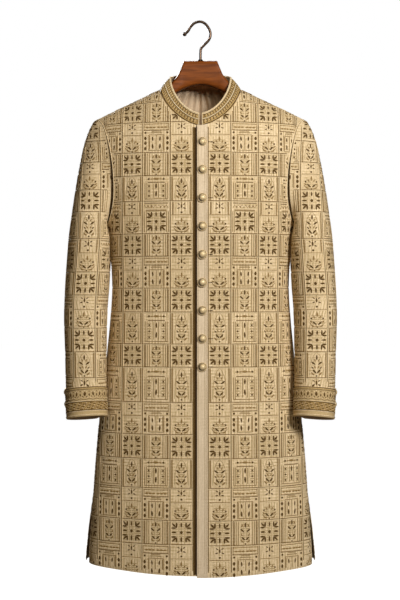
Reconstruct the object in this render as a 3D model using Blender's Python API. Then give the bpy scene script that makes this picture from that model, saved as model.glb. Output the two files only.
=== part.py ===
"""Sherwani coat hanging on a wooden hanger. Metres, +Z up, fronts towards -Y.

The origin is the underside of the hook's bend, where it sits on a rail. Every cloth
piece is a thin wall: its outer points come from one body form or one sleeve form, and
its inner points are the same points moved in along the form's own normal.
"""

import math

import bmesh
import bpy
import numpy as np

# ---- Driving sizes ---------------------------------------------------------------

SEAM = 0.0003  # clear width of a seam, and of the air under anything laid on a panel
CLOTH = 0.0018  # silk, canvas and lining together
OVERLAP_AIR = 0.0004  # between the two fronts where they lap

SHOULDER_X = 0.2277  # half the width across the shoulder seams
NECK_X, NECK_Z = 0.0878, -0.1473  # where collar, front and back meet on the shoulder
SHOULDER_SLOPE = 0.471
NECK_DROP_FRONT, NECK_RISE_BACK = 0.089, 0.008
NECK_SQUARENESS = 1.62
CHEST_Z, UNDERARM_Z = -0.420, -0.448
SLIT_Z = -0.982
SLIT_FLARE, SLIT_GAPE = 0.0062, 0.0055  # the back stands wider, and the edges part
HEM_Z, HEM_SIDE_RISE = -1.1950, 0.0125
HEM_STEP = 0.0015  # the lapping front hangs lower by this, the other one higher
PLAN_POWER = 2.2  # 2 would be an ellipse across the body
SHOULDER_POWER = 2.5
RIDGE_POWER = 1.5  # bend of the shoulder's ridge, carried on under the neck opening
HEM_RISE_POWER = 1.6
WAVE_DEPTH, WAVES_TO_SIDE = 0.0030, 1.5  # soft drape of the skirt
WAVE_TOP_Z, WAVE_GROWTH = -0.700, 0.450  # where it starts, and the height it grows over
GAPE_POWER = 8  # keeps the parting of the slit close to the side

BODY_LEVELS = (
    # height, half_width, front_depth, back_depth
    (-1.2000, 0.2440, 0.1180, 0.1200),
    (-1.1370, 0.2410, 0.1155, 0.1175),
    (-1.0050, 0.2325, 0.1095, 0.1120),
    (-0.9170, 0.2262, 0.1055, 0.1080),
    (-0.8690, 0.2215, 0.1030, 0.1050),
    (-0.7190, 0.2042, 0.0945, 0.0930),
    (-0.6530, 0.1975, 0.0900, 0.0860),
    (-0.5830, 0.1935, 0.0875, 0.0815),
    (-0.5000, 0.1985, 0.0925, 0.0860),
    (-0.4480, 0.2055, 0.0975, 0.0925),
    (-0.4065, 0.2121, 0.1000, 0.0970),
    (-0.3570, 0.2217, 0.1000, 0.1000),
    (-0.3070, 0.2302, 0.0990, 0.1000),
    (-0.2556, 0.2387, 0.0970, 0.0980),
    (-0.2138, 0.2450, 0.0950, 0.0960),
    (-0.1000, 0.2600, 0.0950, 0.0960),
)

ARMHOLE_DEPTH_Y = 0.0565  # how far the armhole bows to the front and to the back
ARMHOLE_ROUNDNESS, ARMHOLE_LOW_FULLNESS = 0.85, 0.10

LEFT_EDGE_X, RIGHT_EDGE_X = -0.0075, -0.0200  # each front's edge, past the centre line
RIGHT_MIDDLE_X = -0.0080
LAP_FLAT_X, LAP_RAMP = 0.0260, 0.0550  # the lap's lift starts to fade here, over this
COLLAR_END_X = 0.0034
PLACKET_X = 0.0153  # its inner stitched edge
PLACKET_THICKNESS = 0.0015

COLLAR_THICKNESS = 0.0025
COLLAR_RIM_X, COLLAR_RIM_POWER = 0.0655, 1.77
COLLAR_RIM_FRONT = (-0.0800, -0.2090)  # y and z of the rim at the front
COLLAR_RIM_SIDE_Z = -0.1190
COLLAR_RIM_BACK = (0.0400, -0.1065)
COLLAR_STEPS = (0.0, 0.3, 0.65, 1.0)  # shares of its height
COLLAR_FULLNESS = 0.0016  # outward swell at half height

SLEEVE_LEVELS = (
    # height, centre_x, centre_y, half_width, half_depth
    (-0.4750, 0.2395, -0.0040, 0.0490, 0.0730),
    (-0.5200, 0.2425, -0.0065, 0.0492, 0.0705),
    (-0.5830, 0.2468, -0.0120, 0.0487, 0.0660),
    (-0.6530, 0.2498, -0.0220, 0.0468, 0.0605),
    (-0.7190, 0.2483, -0.0350, 0.0450, 0.0555),
    (-0.8010, 0.2463, -0.0510, 0.0441, 0.0505),
    (-0.8630, 0.2437, -0.0635, 0.0430, 0.0480),
)
SLEEVE_POWER = 2.25
SLEEVE_CLEARANCE = 0.0045  # between the hanging sleeve and the coat's side
CLEARANCE_SOFTNESS = 0.004
CLEARANCE_START, CLEARANCE_GROWTH = 0.012, 0.020  # above the underarm, and over this drop
UNDERARM_LIFT = 105.0  # degrees the sleeve sets off from the panel under the arm
LIFT_START = 1.5  # turn at which that starts, in radians from the shoulder
HEAD_LEAN, HEAD_LEAN_SPREAD, HEAD_LEAN_SIDE = -0.050, -0.068, 0.050  # of the biceps line
HEAD_REACH, HEAD_REACH_SIDE, HEAD_REACH_LOW = 0.12, 0.05, 0.13  # shares of the span
BICEPS_REACH = 0.42
CUFF_TILT_BACK, CUFF_TILT_OUT = 0.150, 0.075  # fall of the cuff's edge, per metre across
CUFF_BAND_TOP = -0.8010
CUFF_BAND_THICKNESS = 0.0015

FRONT_BUTTONS, FRONT_BUTTON_TOP_Z, FRONT_BUTTON_PITCH = 9, -0.2721, 0.0600
FRONT_BUTTON_X, FRONT_BUTTON_RADIUS, FRONT_BUTTON_HEIGHT = 0.0037, 0.0098, 0.0062
BUTTON_PROFILE = (
    # shares of the radius and of the height: flat back, rolled rim, dome
    (0.00, 0.00),
    (0.88, 0.00),
    (1.00, 0.22),
    (0.90, 0.46),
    (0.74, 0.50),
    (0.42, 0.88),
    (0.00, 1.00),
)
BUTTON_STEPS = 12
CUFF_BUTTON_HEIGHTS = (-0.8090, -0.8345)
CUFF_BUTTON_RADIUS, CUFF_BUTTON_HEIGHT = 0.0085, 0.0055
CUFF_BUTTON_TURN = 352.0  # degrees round the sleeve from its outermost line
CUFF_BUTTON_LIFT = 0.0005  # clears the band's facets

LINING_THICKNESS = 0.0010

HOOK_RADIUS, HOOK_BALL_RADIUS = 0.0029, 0.0045
HOOK_BALL_ANGLES = (15, 50, 85, 120)  # degrees of the ball's rings, from its tip
HOOK_BALL_SET_BACK = 0.55  # share of the ball's radius beyond the wire's end
HOOK_SIDES, HOOK_CELLS = 8, 2
HOOK_ROUTE = (
    # x and z of the wire's centre line, from the ball to the wood
    (-0.0330, -0.0231),
    (-0.0273, -0.0180),
    (-0.0222, -0.0093),
    (-0.0135, -0.0006),
    (-0.0010, 0.0029),
    (0.0101, -0.0016),
    (0.0189, -0.0132),
    (0.0220, -0.0260),
    (0.0180, -0.0378),
    (0.0081, -0.0486),
    (0.0013, -0.0565),
    (0.0000, -0.0673),
    (0.0000, -0.0837),
)

ROOF_SLOPE = 0.34  # the hanger's top falls away to both sides, under the shoulders
HANGER_LEVELS = (
    # distance_out, top, bottom, half_thickness
    (0.0000, -0.0832, -0.1360, 0.0120),
    (0.0366, -0.0832, -0.1435, 0.0120),
    (0.0428, -0.0990, -0.1470, 0.0125),
    (0.0496, -0.1148, -0.1520, 0.0130),
    (0.0600, -0.1265, -0.1590, 0.0135),
    (0.0740, -0.1425, -0.1680, 0.0145),
    (0.0878, -0.1530, -0.1765, 0.0155),
    (0.1000, -0.1554, -0.1840, 0.0160),
    (0.1300, -0.1695, -0.2010, 0.0180),
    (0.1800, -0.1931, -0.2260, 0.0200),
    (0.2100, -0.2072, -0.2370, 0.0200),
    (0.2165, -0.2130, -0.2330, 0.0150),
)

# Cells of the meshes: down the yoke, down the skirt, across neck, shoulder and placket
YOKE_ROWS, SKIRT_ROWS = 12, 11
NECK_CELLS, SHOULDER_CELLS = 5, 7
SIDE_CELLS = NECK_CELLS + SHOULDER_CELLS
SLEEVE_HEAD_STEPS = (0.0, 0.08, 0.20, 0.38, 0.58, 0.79, 1.0)
SLEEVE_ROWS, CUFF_ROWS = 7, 3
LINING_COLUMNS, LINING_ROWS = 4, 8

MATERIALS = {
    # name: colour, roughness, metallic
    "brocade": ((0.640, 0.500, 0.310), 0.62, 0.0),
    "brocade_band": ((0.420, 0.280, 0.110), 0.58, 0.0),
    "placket_silk": ((0.700, 0.570, 0.380), 0.55, 0.0),
    "satin_lining": ((0.500, 0.380, 0.240), 0.42, 0.0),
    "antique_gold": ((0.420, 0.270, 0.090), 0.38, 1.0),
    "stained_wood": ((0.230, 0.062, 0.018), 0.40, 0.0),
    "bronzed_steel": ((0.060, 0.038, 0.026), 0.35, 1.0),
}


# ---- Numbers from the tables -----------------------------------------------------


def smooth_column(rows, column):
    """A smooth function of the table's first column that passes through its rows."""
    rows = sorted(rows)
    at = np.array([row[0] for row in rows])
    value = np.array([row[column] for row in rows])
    step = np.diff(at)
    rise = np.diff(value) / step
    slope = np.concatenate(([rise[0]], np.zeros(len(rise) - 1), [rise[-1]]))
    for i in range(1, len(rise)):
        if rise[i - 1] * rise[i] > 0:
            slope[i] = 2 * rise[i - 1] * rise[i] / (rise[i - 1] + rise[i])

    def read(where):
        where = np.clip(where, at[0], at[-1])
        i = np.clip(np.searchsorted(at, where, side="right") - 1, 0, len(step) - 1)
        t = (where - at[i]) / step[i]
        start = (1 + 2 * t) * (1 - t) ** 2 * value[i] + t * (1 - t) ** 2 * step[i] * slope[i]
        end = t**2 * (3 - 2 * t) * value[i + 1] + t**2 * (t - 1) * step[i] * slope[i + 1]
        return start + end

    return read


half_width_at = smooth_column(BODY_LEVELS, 1)
front_depth_at = smooth_column(BODY_LEVELS, 2)
back_depth_at = smooth_column(BODY_LEVELS, 3)
sleeve_columns = [smooth_column(SLEEVE_LEVELS, column) for column in (1, 2, 3, 4)]


def ease(amount):
    """0 to 1 with flat ends."""
    amount = np.clip(amount, 0.0, 1.0)
    return amount * amount * (3 - 2 * amount)


def unit(vectors):
    return vectors / np.linalg.norm(vectors, axis=-1, keepdims=True)


# ---- The body's form -------------------------------------------------------------
# face is -1 for the fronts and +1 for the back. x is the distance out from the centre.


def body_width(z, face):
    flare = SLIT_FLARE * ease((SLIT_Z - z) / (SLIT_Z - HEM_Z)) if face > 0 else 0.0
    return half_width_at(z) + flare


def body_reach(z, face):
    return front_depth_at(z) if face < 0 else back_depth_at(z)


def shoulder_height(x):
    """Ridge of the shoulder, carried on to the centre under the neck opening."""
    x = np.abs(x)
    bend = SHOULDER_SLOPE / (RIDGE_POWER * NECK_X ** (RIDGE_POWER - 1))
    inside = NECK_Z + bend * (NECK_X**RIDGE_POWER - x**RIDGE_POWER)
    return np.where(x < NECK_X, inside, NECK_Z - SHOULDER_SLOPE * (x - NECK_X))


def climb(x, z):
    """0 at the chest and below, 1 on the shoulder's ridge."""
    return np.clip((z - CHEST_Z) / (shoulder_height(x) - CHEST_Z), 0.0, 1.0)


def body_depth(x, z, face):
    """How far the form stands in front of, or behind, the side seam's plane."""
    across = np.clip(1 - (np.abs(x) / body_width(z, face)) ** PLAN_POWER, 0.0, 1.0)
    rounding = (1 - climb(x, z) ** SHOULDER_POWER) ** (1 / SHOULDER_POWER)
    return body_reach(z, face) * across ** (1 / PLAN_POWER) * rounding


def body_normal(x, y, z, face):
    """Outward normal of the form from the slope of its level function."""

    def level(x, y, z):
        across = (np.abs(x) / body_width(z, face)) ** PLAN_POWER
        reach = body_reach(z, face)
        low = across + (np.abs(y) / reach) ** PLAN_POWER
        room = reach * np.clip(1 - across, 1e-6, 1.0) ** (1 / PLAN_POWER)
        high = (np.abs(y) / room) ** SHOULDER_POWER + climb(x, z) ** SHOULDER_POWER
        return np.where(z > CHEST_Z, high, low)

    h = 1e-5
    slope = [
        level(x + h, y, z) - level(x - h, y, z),
        level(x, y + h, z) - level(x, y - h, z),
        level(x, y, z + h) - level(x, y, z - h),
    ]
    return unit(np.stack(slope, axis=-1))


def skirt_wave(x, z, face):
    """Soft vertical drape that dies out above the hips, the same on both side edges."""
    turn = np.arcsin(np.clip(np.abs(x) / body_width(z, face), 0.0, 1.0))
    depth = WAVE_DEPTH * ease((WAVE_TOP_Z - z) / WAVE_GROWTH)
    return depth * np.sin(4 * WAVES_TO_SIDE * turn)


def body_points(x, z, face, out=0.0):
    """Outer points and normals of the form at (x, z), moved out along the normal."""
    depth = body_depth(x, z, face)
    normal = body_normal(x, face * depth, z, face)
    nearness_to_side = (np.abs(x) / body_width(z, face)) ** GAPE_POWER
    gape = SLIT_GAPE * ease((SLIT_Z - z) / (SLIT_Z - HEM_Z)) * nearness_to_side
    y = face * (depth + SEAM / 2 + gape)
    points = np.stack([x, y, z], axis=-1)
    return points + normal * (skirt_wave(x, z, face) + out)[..., None], normal


def neckline(x, face):
    share = np.clip(np.abs(x) / NECK_X, 0.0, 1.0)
    if face > 0:
        return NECK_Z + NECK_RISE_BACK * (1 - share**2)
    drop = NECK_DROP_FRONT * (1 - share**NECK_SQUARENESS) ** (1 / NECK_SQUARENESS)
    return NECK_Z - drop


def hem(x):
    share = np.clip(np.abs(x) / half_width_at(HEM_Z), 0, 1)
    return HEM_Z + HEM_SIDE_RISE * share**HEM_RISE_POWER


def armhole(turn, face):
    """(x, z) of the armhole at a turn from 0 on the shoulder to pi under the arm."""
    top = float(shoulder_height(SHOULDER_X))
    z = (top + UNDERARM_Z) / 2 + (top - UNDERARM_Z) / 2 * np.cos(turn)
    fullness = 1 - ARMHOLE_LOW_FULLNESS * np.cos(turn)
    bow = ARMHOLE_DEPTH_Y * np.sin(turn) ** ARMHOLE_ROUNDNESS * fullness
    x = half_width_at(z)
    for _ in range(30):
        rounding = (1 - climb(x, z) ** SHOULDER_POWER) ** (1 / SHOULDER_POWER)
        room = np.maximum(body_reach(z, face) * rounding, bow + 1e-9)
        x = 0.5 * x + 0.5 * half_width_at(z) * (1 - (bow / room) ** PLAN_POWER) ** (
            1 / PLAN_POWER
        )
    x = np.where(turn < 1e-6, SHOULDER_X, x)
    x = np.where(turn > math.pi - 1e-6, half_width_at(z), x)
    return x, z


# ---- Grids of a panel's points ---------------------------------------------------


def half_panel(first_x, face):
    """(x, z) grid of one side of a panel: rows go down, columns go out from first_x."""
    turns = np.linspace(0, math.pi, YOKE_ROWS + 1)
    down = (1 - np.cos(turns)) / 2
    arm_x, arm_z = armhole(turns, face)
    neck_angle = np.linspace(0, math.pi / 2, NECK_CELLS + 1)
    start = (first_x / NECK_X) ** NECK_SQUARENESS
    neck_x = NECK_X * (start + (1 - start) * np.sin(neck_angle)) ** (1 / NECK_SQUARENESS)
    if face > 0:
        neck_x = first_x + (NECK_X - first_x) * np.sin(neck_angle)
    shoulder_x = np.linspace(NECK_X, SHOULDER_X, SHOULDER_CELLS + 1)[1:]
    top_x = np.concatenate([neck_x, shoulder_x])
    top_z = np.concatenate([neckline(neck_x, face), shoulder_height(shoulder_x)])

    def row_across(z):
        width = body_width(z, face)
        first = math.asin((first_x / width) ** (PLAN_POWER / 2))
        angle = np.linspace(first, math.pi / 2, SIDE_CELLS + 1)
        return width * np.sin(angle) ** (2 / PLAN_POWER)

    low_x = row_across(UNDERARM_Z)
    share = np.linspace(0, 1, SIDE_CELLS + 1)
    # The yoke spreads its points between neckline and shoulder, underarm, front and arm
    rows = []
    for v, edge_x, edge_z in zip(down, arm_x, arm_z):
        inner_z = top_z[0] + v * (UNDERARM_Z - top_z[0])
        x = (1 - v) * top_x + v * low_x + share * (edge_x - (1 - v) * top_x[-1] - v * low_x[-1])
        straight = (1 - share) * (inner_z - (1 - v) * top_z[0] - v * UNDERARM_Z)
        z = (1 - v) * top_z + v * UNDERARM_Z + straight
        z = z + share * (edge_z - (1 - v) * top_z[-1] - v * UNDERARM_Z)
        rows.append((x, z))
    side_hem = float(hem(half_width_at(HEM_Z)))
    for fall in np.linspace(0, 1, SKIRT_ROWS + 1)[1:]:
        x = row_across(UNDERARM_Z + fall * (side_hem - UNDERARM_Z))
        rows.append((x, UNDERARM_Z + fall * (hem(x) - UNDERARM_Z)))
    return np.array([row[0] for row in rows]), np.array([row[1] for row in rows])


def with_centre_columns(grid, centre_x, face):
    """Adds columns of constant x, nearer the centre than the grid's own first one."""
    x, z = grid
    below = z[:, 0]
    fall = (below - below[0]) / (below[-1] - below[0])
    extra = [neckline(c, face) + fall * (hem(c) - neckline(c, face)) for c in centre_x]
    extra_x = np.repeat(np.array(centre_x)[None, :], len(x), axis=0)
    return np.hstack([extra_x, x]), np.hstack([np.array(extra).T, z])


def lap(x):
    """How far the left front is lifted to lie on the right one."""
    return (CLOTH + OVERLAP_AIR) * (1 - ease((x - LAP_FLAT_X) / LAP_RAMP))


def front_grid(side):
    """Outer points and normals of a front. side +1 is the wearer's left."""
    grid = half_panel(PLACKET_X, -1)
    if side > 0:
        x, z = with_centre_columns(grid, (LEFT_EDGE_X, COLLAR_END_X), -1)
    else:
        x, z = with_centre_columns(grid, (RIGHT_EDGE_X, RIGHT_MIDDLE_X, COLLAR_END_X), -1)
    z = z - side * HEM_STEP * ease((SLIT_Z - z) / (SLIT_Z - HEM_Z))
    points, normals = body_points(x, z, -1, lap(x) if side > 0 else np.zeros_like(x))
    flip = np.array([side, 1, 1])
    return points * flip, normals * flip


def back_grid():
    x, z = half_panel(0.0, 1)
    points, normals = body_points(x, z, 1)
    mirror = np.array([-1, 1, 1])
    points = np.concatenate([points[:, :0:-1] * mirror, points], axis=1)
    normals = np.concatenate([normals[:, :0:-1] * mirror, normals], axis=1)
    return points, normals


# ---- The sleeve's form -----------------------------------------------------------


def sleeve_section(turn, z):
    """A point of the hanging sleeve: turn 0 is outermost, pi / 2 frontmost."""
    centre_x, centre_y, half_x, half_y = (column(z) for column in sleeve_columns)
    across, along = np.cos(turn), -np.sin(turn)
    x = centre_x + half_x * np.sign(across) * np.abs(across) ** (2 / SLEEVE_POWER)
    y = centre_y + half_y * np.sign(along) * np.abs(along) ** (2 / SLEEVE_POWER)
    share = ease((SLEEVE_LEVELS[0][0] - z) / (SLEEVE_LEVELS[0][0] - SLEEVE_LEVELS[-1][0]))
    fall = CUFF_TILT_BACK * (y - centre_y) + CUFF_TILT_OUT * (x - centre_x)
    return np.stack([x, y, z - share * fall], axis=-1)


def armhole_start(turn):
    """Where the sleeve starts on the armhole, and the way it sets off."""
    turn = np.mod(turn, 2 * math.pi)
    from_top = np.minimum(turn, 2 * math.pi - turn)
    start = np.empty(turn.shape + (3,))
    normal = np.empty_like(start)
    along = np.empty_like(start)
    step = 1e-3
    for face, chosen in ((-1, turn <= math.pi), (1, turn > math.pi)):
        here = from_top[chosen]
        run = []
        for at in (here - step, here, here + step):
            x, z = armhole(np.clip(at, 0, math.pi), face)
            run.append(body_points(x, z, face))
        start[chosen], normal[chosen] = run[1]
        along[chosen] = unit(run[2][0] - run[0][0])
    ends = (from_top < step) | (from_top > math.pi - step)
    along[ends] = (0.0, 1.0, 0.0)
    start[ends, 1] = 0.0
    normal[ends, 1] = 0.0
    normal = unit(normal)
    hole = np.array([SHOULDER_X, 0.0, (shoulder_height(SHOULDER_X) + UNDERARM_Z) / 2])
    away = hole - start
    away[from_top < step] = (1.0, 0.0, -SHOULDER_SLOPE)
    for axis in (normal, along):
        away = away - axis * (away * axis).sum(axis=-1, keepdims=True)
    away = unit(away)
    lift = math.radians(UNDERARM_LIFT) * ease((from_top - LIFT_START) / (math.pi - LIFT_START))
    lift = lift[..., None]
    return start + away * SEAM, away * np.cos(lift) + normal * np.sin(lift)


def clear_of_body(points):
    """Moves points that would touch the coat's side out from it, with a soft bend."""
    x, y, z = points[..., 0], points[..., 1], points[..., 2]
    moved = x.copy()
    for face in (-1, 1):
        reach = body_reach(z, face) + SLEEVE_CLEARANCE
        room = np.clip(1 - (np.abs(y) / reach) ** PLAN_POWER, 0, 1) ** (1 / PLAN_POWER)
        limit = (half_width_at(z) + SLEEVE_CLEARANCE) * room
        pushed = 0.5 * (x + limit + np.sqrt((x - limit) ** 2 + CLEARANCE_SOFTNESS**2))
        strength = ease((UNDERARM_Z + CLEARANCE_START - z) / CLEARANCE_GROWTH)
        here = (y < 0) if face < 0 else (y >= 0)
        moved = np.where(here, x + (pushed - x) * strength, moved)
    return np.stack([moved, y, z], axis=-1)


def sleeve_points(turn, way):
    """Outer points of the wearer's left sleeve. way runs 0 to 1 down the head to the
    biceps, 1 to 2 down to the cuff band and 2 to 3 over the band."""
    start, heading = armhole_start(turn)
    top_z, low_z = SLEEVE_LEVELS[0][0], SLEEVE_LEVELS[-1][0]
    biceps = sleeve_section(turn, np.full(turn.shape, top_z))
    lean_out = HEAD_LEAN + HEAD_LEAN_SPREAD * np.cos(turn)
    lean_back = HEAD_LEAN_SIDE * np.sin(turn)
    upward = unit(np.stack([lean_out, lean_back, np.ones(turn.shape)], axis=-1))
    span = np.linalg.norm(biceps - start, axis=-1, keepdims=True)
    under_arm = ease((-np.cos(turn) - 0.2) / 0.8)
    reach = HEAD_REACH + HEAD_REACH_SIDE * np.abs(np.sin(turn)) + HEAD_REACH_LOW * under_arm
    first = start + heading * span * reach[..., None]
    second = biceps + upward * span * BICEPS_REACH
    t = np.clip(way, 0, 1)[..., None]
    head = (1 - t) ** 3 * start + 3 * t * (1 - t) ** 2 * first
    head = head + 3 * t * t * (1 - t) * second + t**3 * biceps
    arm_z = np.interp(way, (1, 2, 3), (top_z, CUFF_BAND_TOP, low_z))
    arm = sleeve_section(turn, arm_z)
    return clear_of_body(np.where(way[..., None] < 1, head, arm))


def sleeve_grid():
    """Rings from armhole to cuff, and their outward normals."""
    turns = 2 * math.pi * np.arange(2 * YOKE_ROWS) / (2 * YOKE_ROWS)
    ways = np.concatenate([
        SLEEVE_HEAD_STEPS,
        np.linspace(1, 2, SLEEVE_ROWS + 1)[1:],
        np.linspace(2, 3, CUFF_ROWS + 1)[1:],
    ])
    way, turn = np.meshgrid(ways, turns, indexing="ij")
    step = 1e-3
    down = sleeve_points(turn, way + step) - sleeve_points(turn, np.maximum(way - step, 0))
    around = sleeve_points(turn + step, way) - sleeve_points(turn - step, way)
    return sleeve_points(turn, way), unit(np.cross(around, down))


# ---- Meshes ----------------------------------------------------------------------


def new_object(name, material, bm):
    """Makes one object of a bmesh and shades it."""
    mesh = bpy.data.meshes.new(name)
    bm.normal_update()
    bmesh.ops.recalc_face_normals(bm, faces=bm.faces)
    bm.to_mesh(mesh)
    bm.free()
    mesh.materials.append(material)
    mesh.shade_smooth()
    mesh.set_sharp_from_angle(angle=math.radians(50))
    made = bpy.data.objects.new(name, mesh)
    bpy.context.scene.collection.objects.link(made)
    return made


def wall(name, material, outer, inner, closed=False):
    """One wall between two grids of points. A closed grid is a tube."""
    bm = bmesh.new()
    rows, columns = outer.shape[:2]
    front = [[bm.verts.new(outer[r, c]) for c in range(columns)] for r in range(rows)]
    rear = [[bm.verts.new(inner[r, c]) for c in range(columns)] for r in range(rows)]
    last = columns if closed else columns - 1
    for r in range(rows - 1):
        for c in range(last):
            d = (c + 1) % columns
            bm.faces.new((front[r][c], front[r + 1][c], front[r + 1][d], front[r][d]))
            bm.faces.new((rear[r][c], rear[r][d], rear[r + 1][d], rear[r + 1][c]))
    for c in range(last):
        d = (c + 1) % columns
        bm.faces.new((front[0][c], front[0][d], rear[0][d], rear[0][c]))
        bm.faces.new((front[-1][c], rear[-1][c], rear[-1][d], front[-1][d]))
    if not closed:
        for r in range(rows - 1):
            bm.faces.new((front[r][0], rear[r][0], rear[r + 1][0], front[r + 1][0]))
            bm.faces.new((front[r][-1], front[r + 1][-1], rear[r + 1][-1], rear[r][-1]))
    return new_object(name, material, bm)


def mirrored(points):
    return points * np.array([-1, 1, 1])


def turned_button(name, material, place, normal, radius, height):
    """Domed button with a rolled rim and a flat back, turned round its own axis."""
    side = unit(np.cross(normal, (0.0, 0.0, 1.0)))
    up = np.cross(side, normal)
    bm = bmesh.new()
    rings = []
    for out, rise in BUTTON_PROFILE:
        count = BUTTON_STEPS if out > 0 else 1
        angles = 2 * math.pi * np.arange(count)[:, None] / count
        ring = radius * out * (side * np.cos(angles) + up * np.sin(angles))
        rings.append([bm.verts.new(place + point + normal * height * rise) for point in ring])
    for ring, following in zip(rings, rings[1:]):
        for i in range(BUTTON_STEPS):
            j = (i + 1) % BUTTON_STEPS
            corners = [ring[i % len(ring)], ring[j % len(ring)]]
            corners += [following[j % len(following)], following[i % len(following)]]
            bm.faces.new(tuple(dict.fromkeys(corners)))
    return new_object(name, material, bm)


# ---- Pieces of the coat ----------------------------------------------------------


def make_fronts_and_placket(materials):
    left, left_normals = front_grid(1)
    right, right_normals = front_grid(-1)
    cloth = materials["brocade"]
    wall("front_left", cloth, left, left - left_normals * CLOTH)
    wall("front_right", cloth, right[:, ::-1], (right - right_normals * CLOTH)[:, ::-1])
    strip, strip_normals = left[:, :3], left_normals[:, :3]
    under = strip + strip_normals * SEAM
    over = under + strip_normals * PLACKET_THICKNESS
    wall("placket", materials["placket_silk"], over, under)
    return (left, left_normals), (right, right_normals), over


def make_back(materials):
    points, normals = back_grid()
    inner = points - normals * CLOTH
    wall("back", materials["brocade"], points[:, ::-1], inner[:, ::-1])
    middle = points.shape[1] // 2
    part = (slice(0, LINING_ROWS + 1), slice(middle - LINING_COLUMNS, middle + LINING_COLUMNS + 1))
    outer = inner[part] - normals[part] * SEAM
    lining_inner = outer - normals[part] * LINING_THICKNESS
    wall("back_lining", materials["satin_lining"], outer[:, ::-1], lining_inner[:, ::-1])
    return points, normals


def rim_points(x, faces):
    """Upper edge of the collar at distances x from the centre."""
    share = np.clip(np.abs(x) / COLLAR_RIM_X, 0.0, 1.0)
    bow = (1 - share**COLLAR_RIM_POWER) ** (1 / COLLAR_RIM_POWER)
    depth = np.where(faces < 0, COLLAR_RIM_FRONT[0], COLLAR_RIM_BACK[0])
    height = np.where(faces < 0, COLLAR_RIM_FRONT[1], COLLAR_RIM_BACK[1])
    z = COLLAR_RIM_SIDE_Z + (height - COLLAR_RIM_SIDE_Z) * bow
    return np.stack([x, depth * np.sqrt(1 - share**2), z], axis=-1)


def make_collar(materials, left, right, back):
    """Stand collar, open at the centre front, on the points of the three necklines."""
    middle = back[0].shape[1] // 2
    runs = (
        # panel, its neckline columns in order round the neck, face
        (left, range(1, NECK_CELLS + 3), -1),
        (back, range(middle + NECK_CELLS - 1, middle - NECK_CELLS, -1), 1),
        (right, range(NECK_CELLS + 3, 1, -1), -1),
    )
    base = np.concatenate([panel[0][0, list(columns)] for panel, columns, _ in runs])
    normals = np.concatenate([panel[1][0, list(columns)] for panel, columns, _ in runs])
    faces = np.concatenate([np.full(len(columns), face) for _, columns, face in runs])
    neck_points = [NECK_CELLS + 1, len(base) - NECK_CELLS - 2]
    base[neck_points, 1] = 0.0
    normals[neck_points, 1] = 0.0
    normals = unit(normals)
    rim_x = COLLAR_RIM_X * np.clip(base[:, 0] / NECK_X, -1, 1)
    rim_x[[0, -1]] = base[[0, -1], 0]
    rim = rim_points(rim_x, faces)
    around = unit(np.gradient(base, axis=0))
    away = unit(np.cross(around, normals))
    base = base + away * np.sign(away[:, 2:3]) * SEAM
    facing = unit(np.cross(rim - base, around))
    facing = facing * np.sign((facing * normals).sum(axis=1, keepdims=True))
    outer = [
        base + (rim - base) * share + facing * COLLAR_FULLNESS * math.sin(math.pi * share)
        for share in COLLAR_STEPS
    ]
    outer = np.array(outer)
    inner = outer - facing * COLLAR_THICKNESS
    inner[0] = base - normals * COLLAR_THICKNESS
    wall("collar", materials["brocade_band"], outer, inner)


def make_sleeves(materials):
    points, normals = sleeve_grid()
    inner = points - normals * CLOTH
    first = len(SLEEVE_HEAD_STEPS) - 1 + SLEEVE_ROWS
    under = points[first:] + normals[first:] * SEAM
    over = under + normals[first:] * CUFF_BAND_THICKNESS
    cloth, band = materials["brocade"], materials["brocade_band"]
    wall("sleeve_left", cloth, points, inner, closed=True)
    wall("cuff_band_left", band, over, under, closed=True)
    wall("sleeve_right", cloth, mirrored(points), mirrored(inner), closed=True)
    wall("cuff_band_right", band, mirrored(over), mirrored(under), closed=True)
    return over


def make_cuff_buttons(materials, band):
    """Two buttons on the outside of each cuff, seated on the band's own facets."""
    turn = math.radians(CUFF_BUTTON_TURN)
    count = band.shape[1]
    column = int(turn / (2 * math.pi) * count)
    share = turn / (2 * math.pi) * count - column
    line = band[:, column] * (1 - share) + band[:, (column + 1) % count] * share
    around = unit(band[0, (column + 1) % count] - band[0, column])
    for number, height in enumerate(CUFF_BUTTON_HEIGHTS, 1):
        place = np.array([np.interp(-height, -line[:, 2], line[:, k]) for k in range(3)])
        normal = unit(np.cross(unit(line[-1] - line[0]), around))
        normal = normal * np.sign(normal[0])
        seat = place + normal * CUFF_BUTTON_LIFT
        for side, name in ((1, "left"), (-1, "right")):
            turned_button(
                f"cuff_button_{name}_{number}", materials["antique_gold"],
                seat * np.array([side, 1, 1]), normal * np.array([side, 1, 1]),
                CUFF_BUTTON_RADIUS, CUFF_BUTTON_HEIGHT,
            )


def make_front_buttons(materials, placket):
    """A column of buttons on the placket, each seated on the strip's facets."""
    line = placket[:, 1]
    for number in range(FRONT_BUTTONS):
        z = FRONT_BUTTON_TOP_Z - number * FRONT_BUTTON_PITCH
        heights = z + FRONT_BUTTON_RADIUS * np.linspace(-1, 1, 9)
        depths = np.interp(-heights, -line[:, 2], line[:, 1])
        slope = (depths[-1] - depths[0]) / (heights[-1] - heights[0])
        chord = depths[0] + slope * (heights - heights[0])
        proud = max(0.0, float(np.max(chord - depths)))
        normal = unit(np.array([0.0, -1.0, slope]))
        middle = (depths[0] + depths[-1]) / 2
        place = np.array([FRONT_BUTTON_X, middle - proud, z]) + normal * SEAM
        turned_button(
            f"front_button_{number + 1}", materials["antique_gold"], place, normal,
            FRONT_BUTTON_RADIUS, FRONT_BUTTON_HEIGHT,
        )


# ---- Hanger and hook -------------------------------------------------------------


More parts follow.
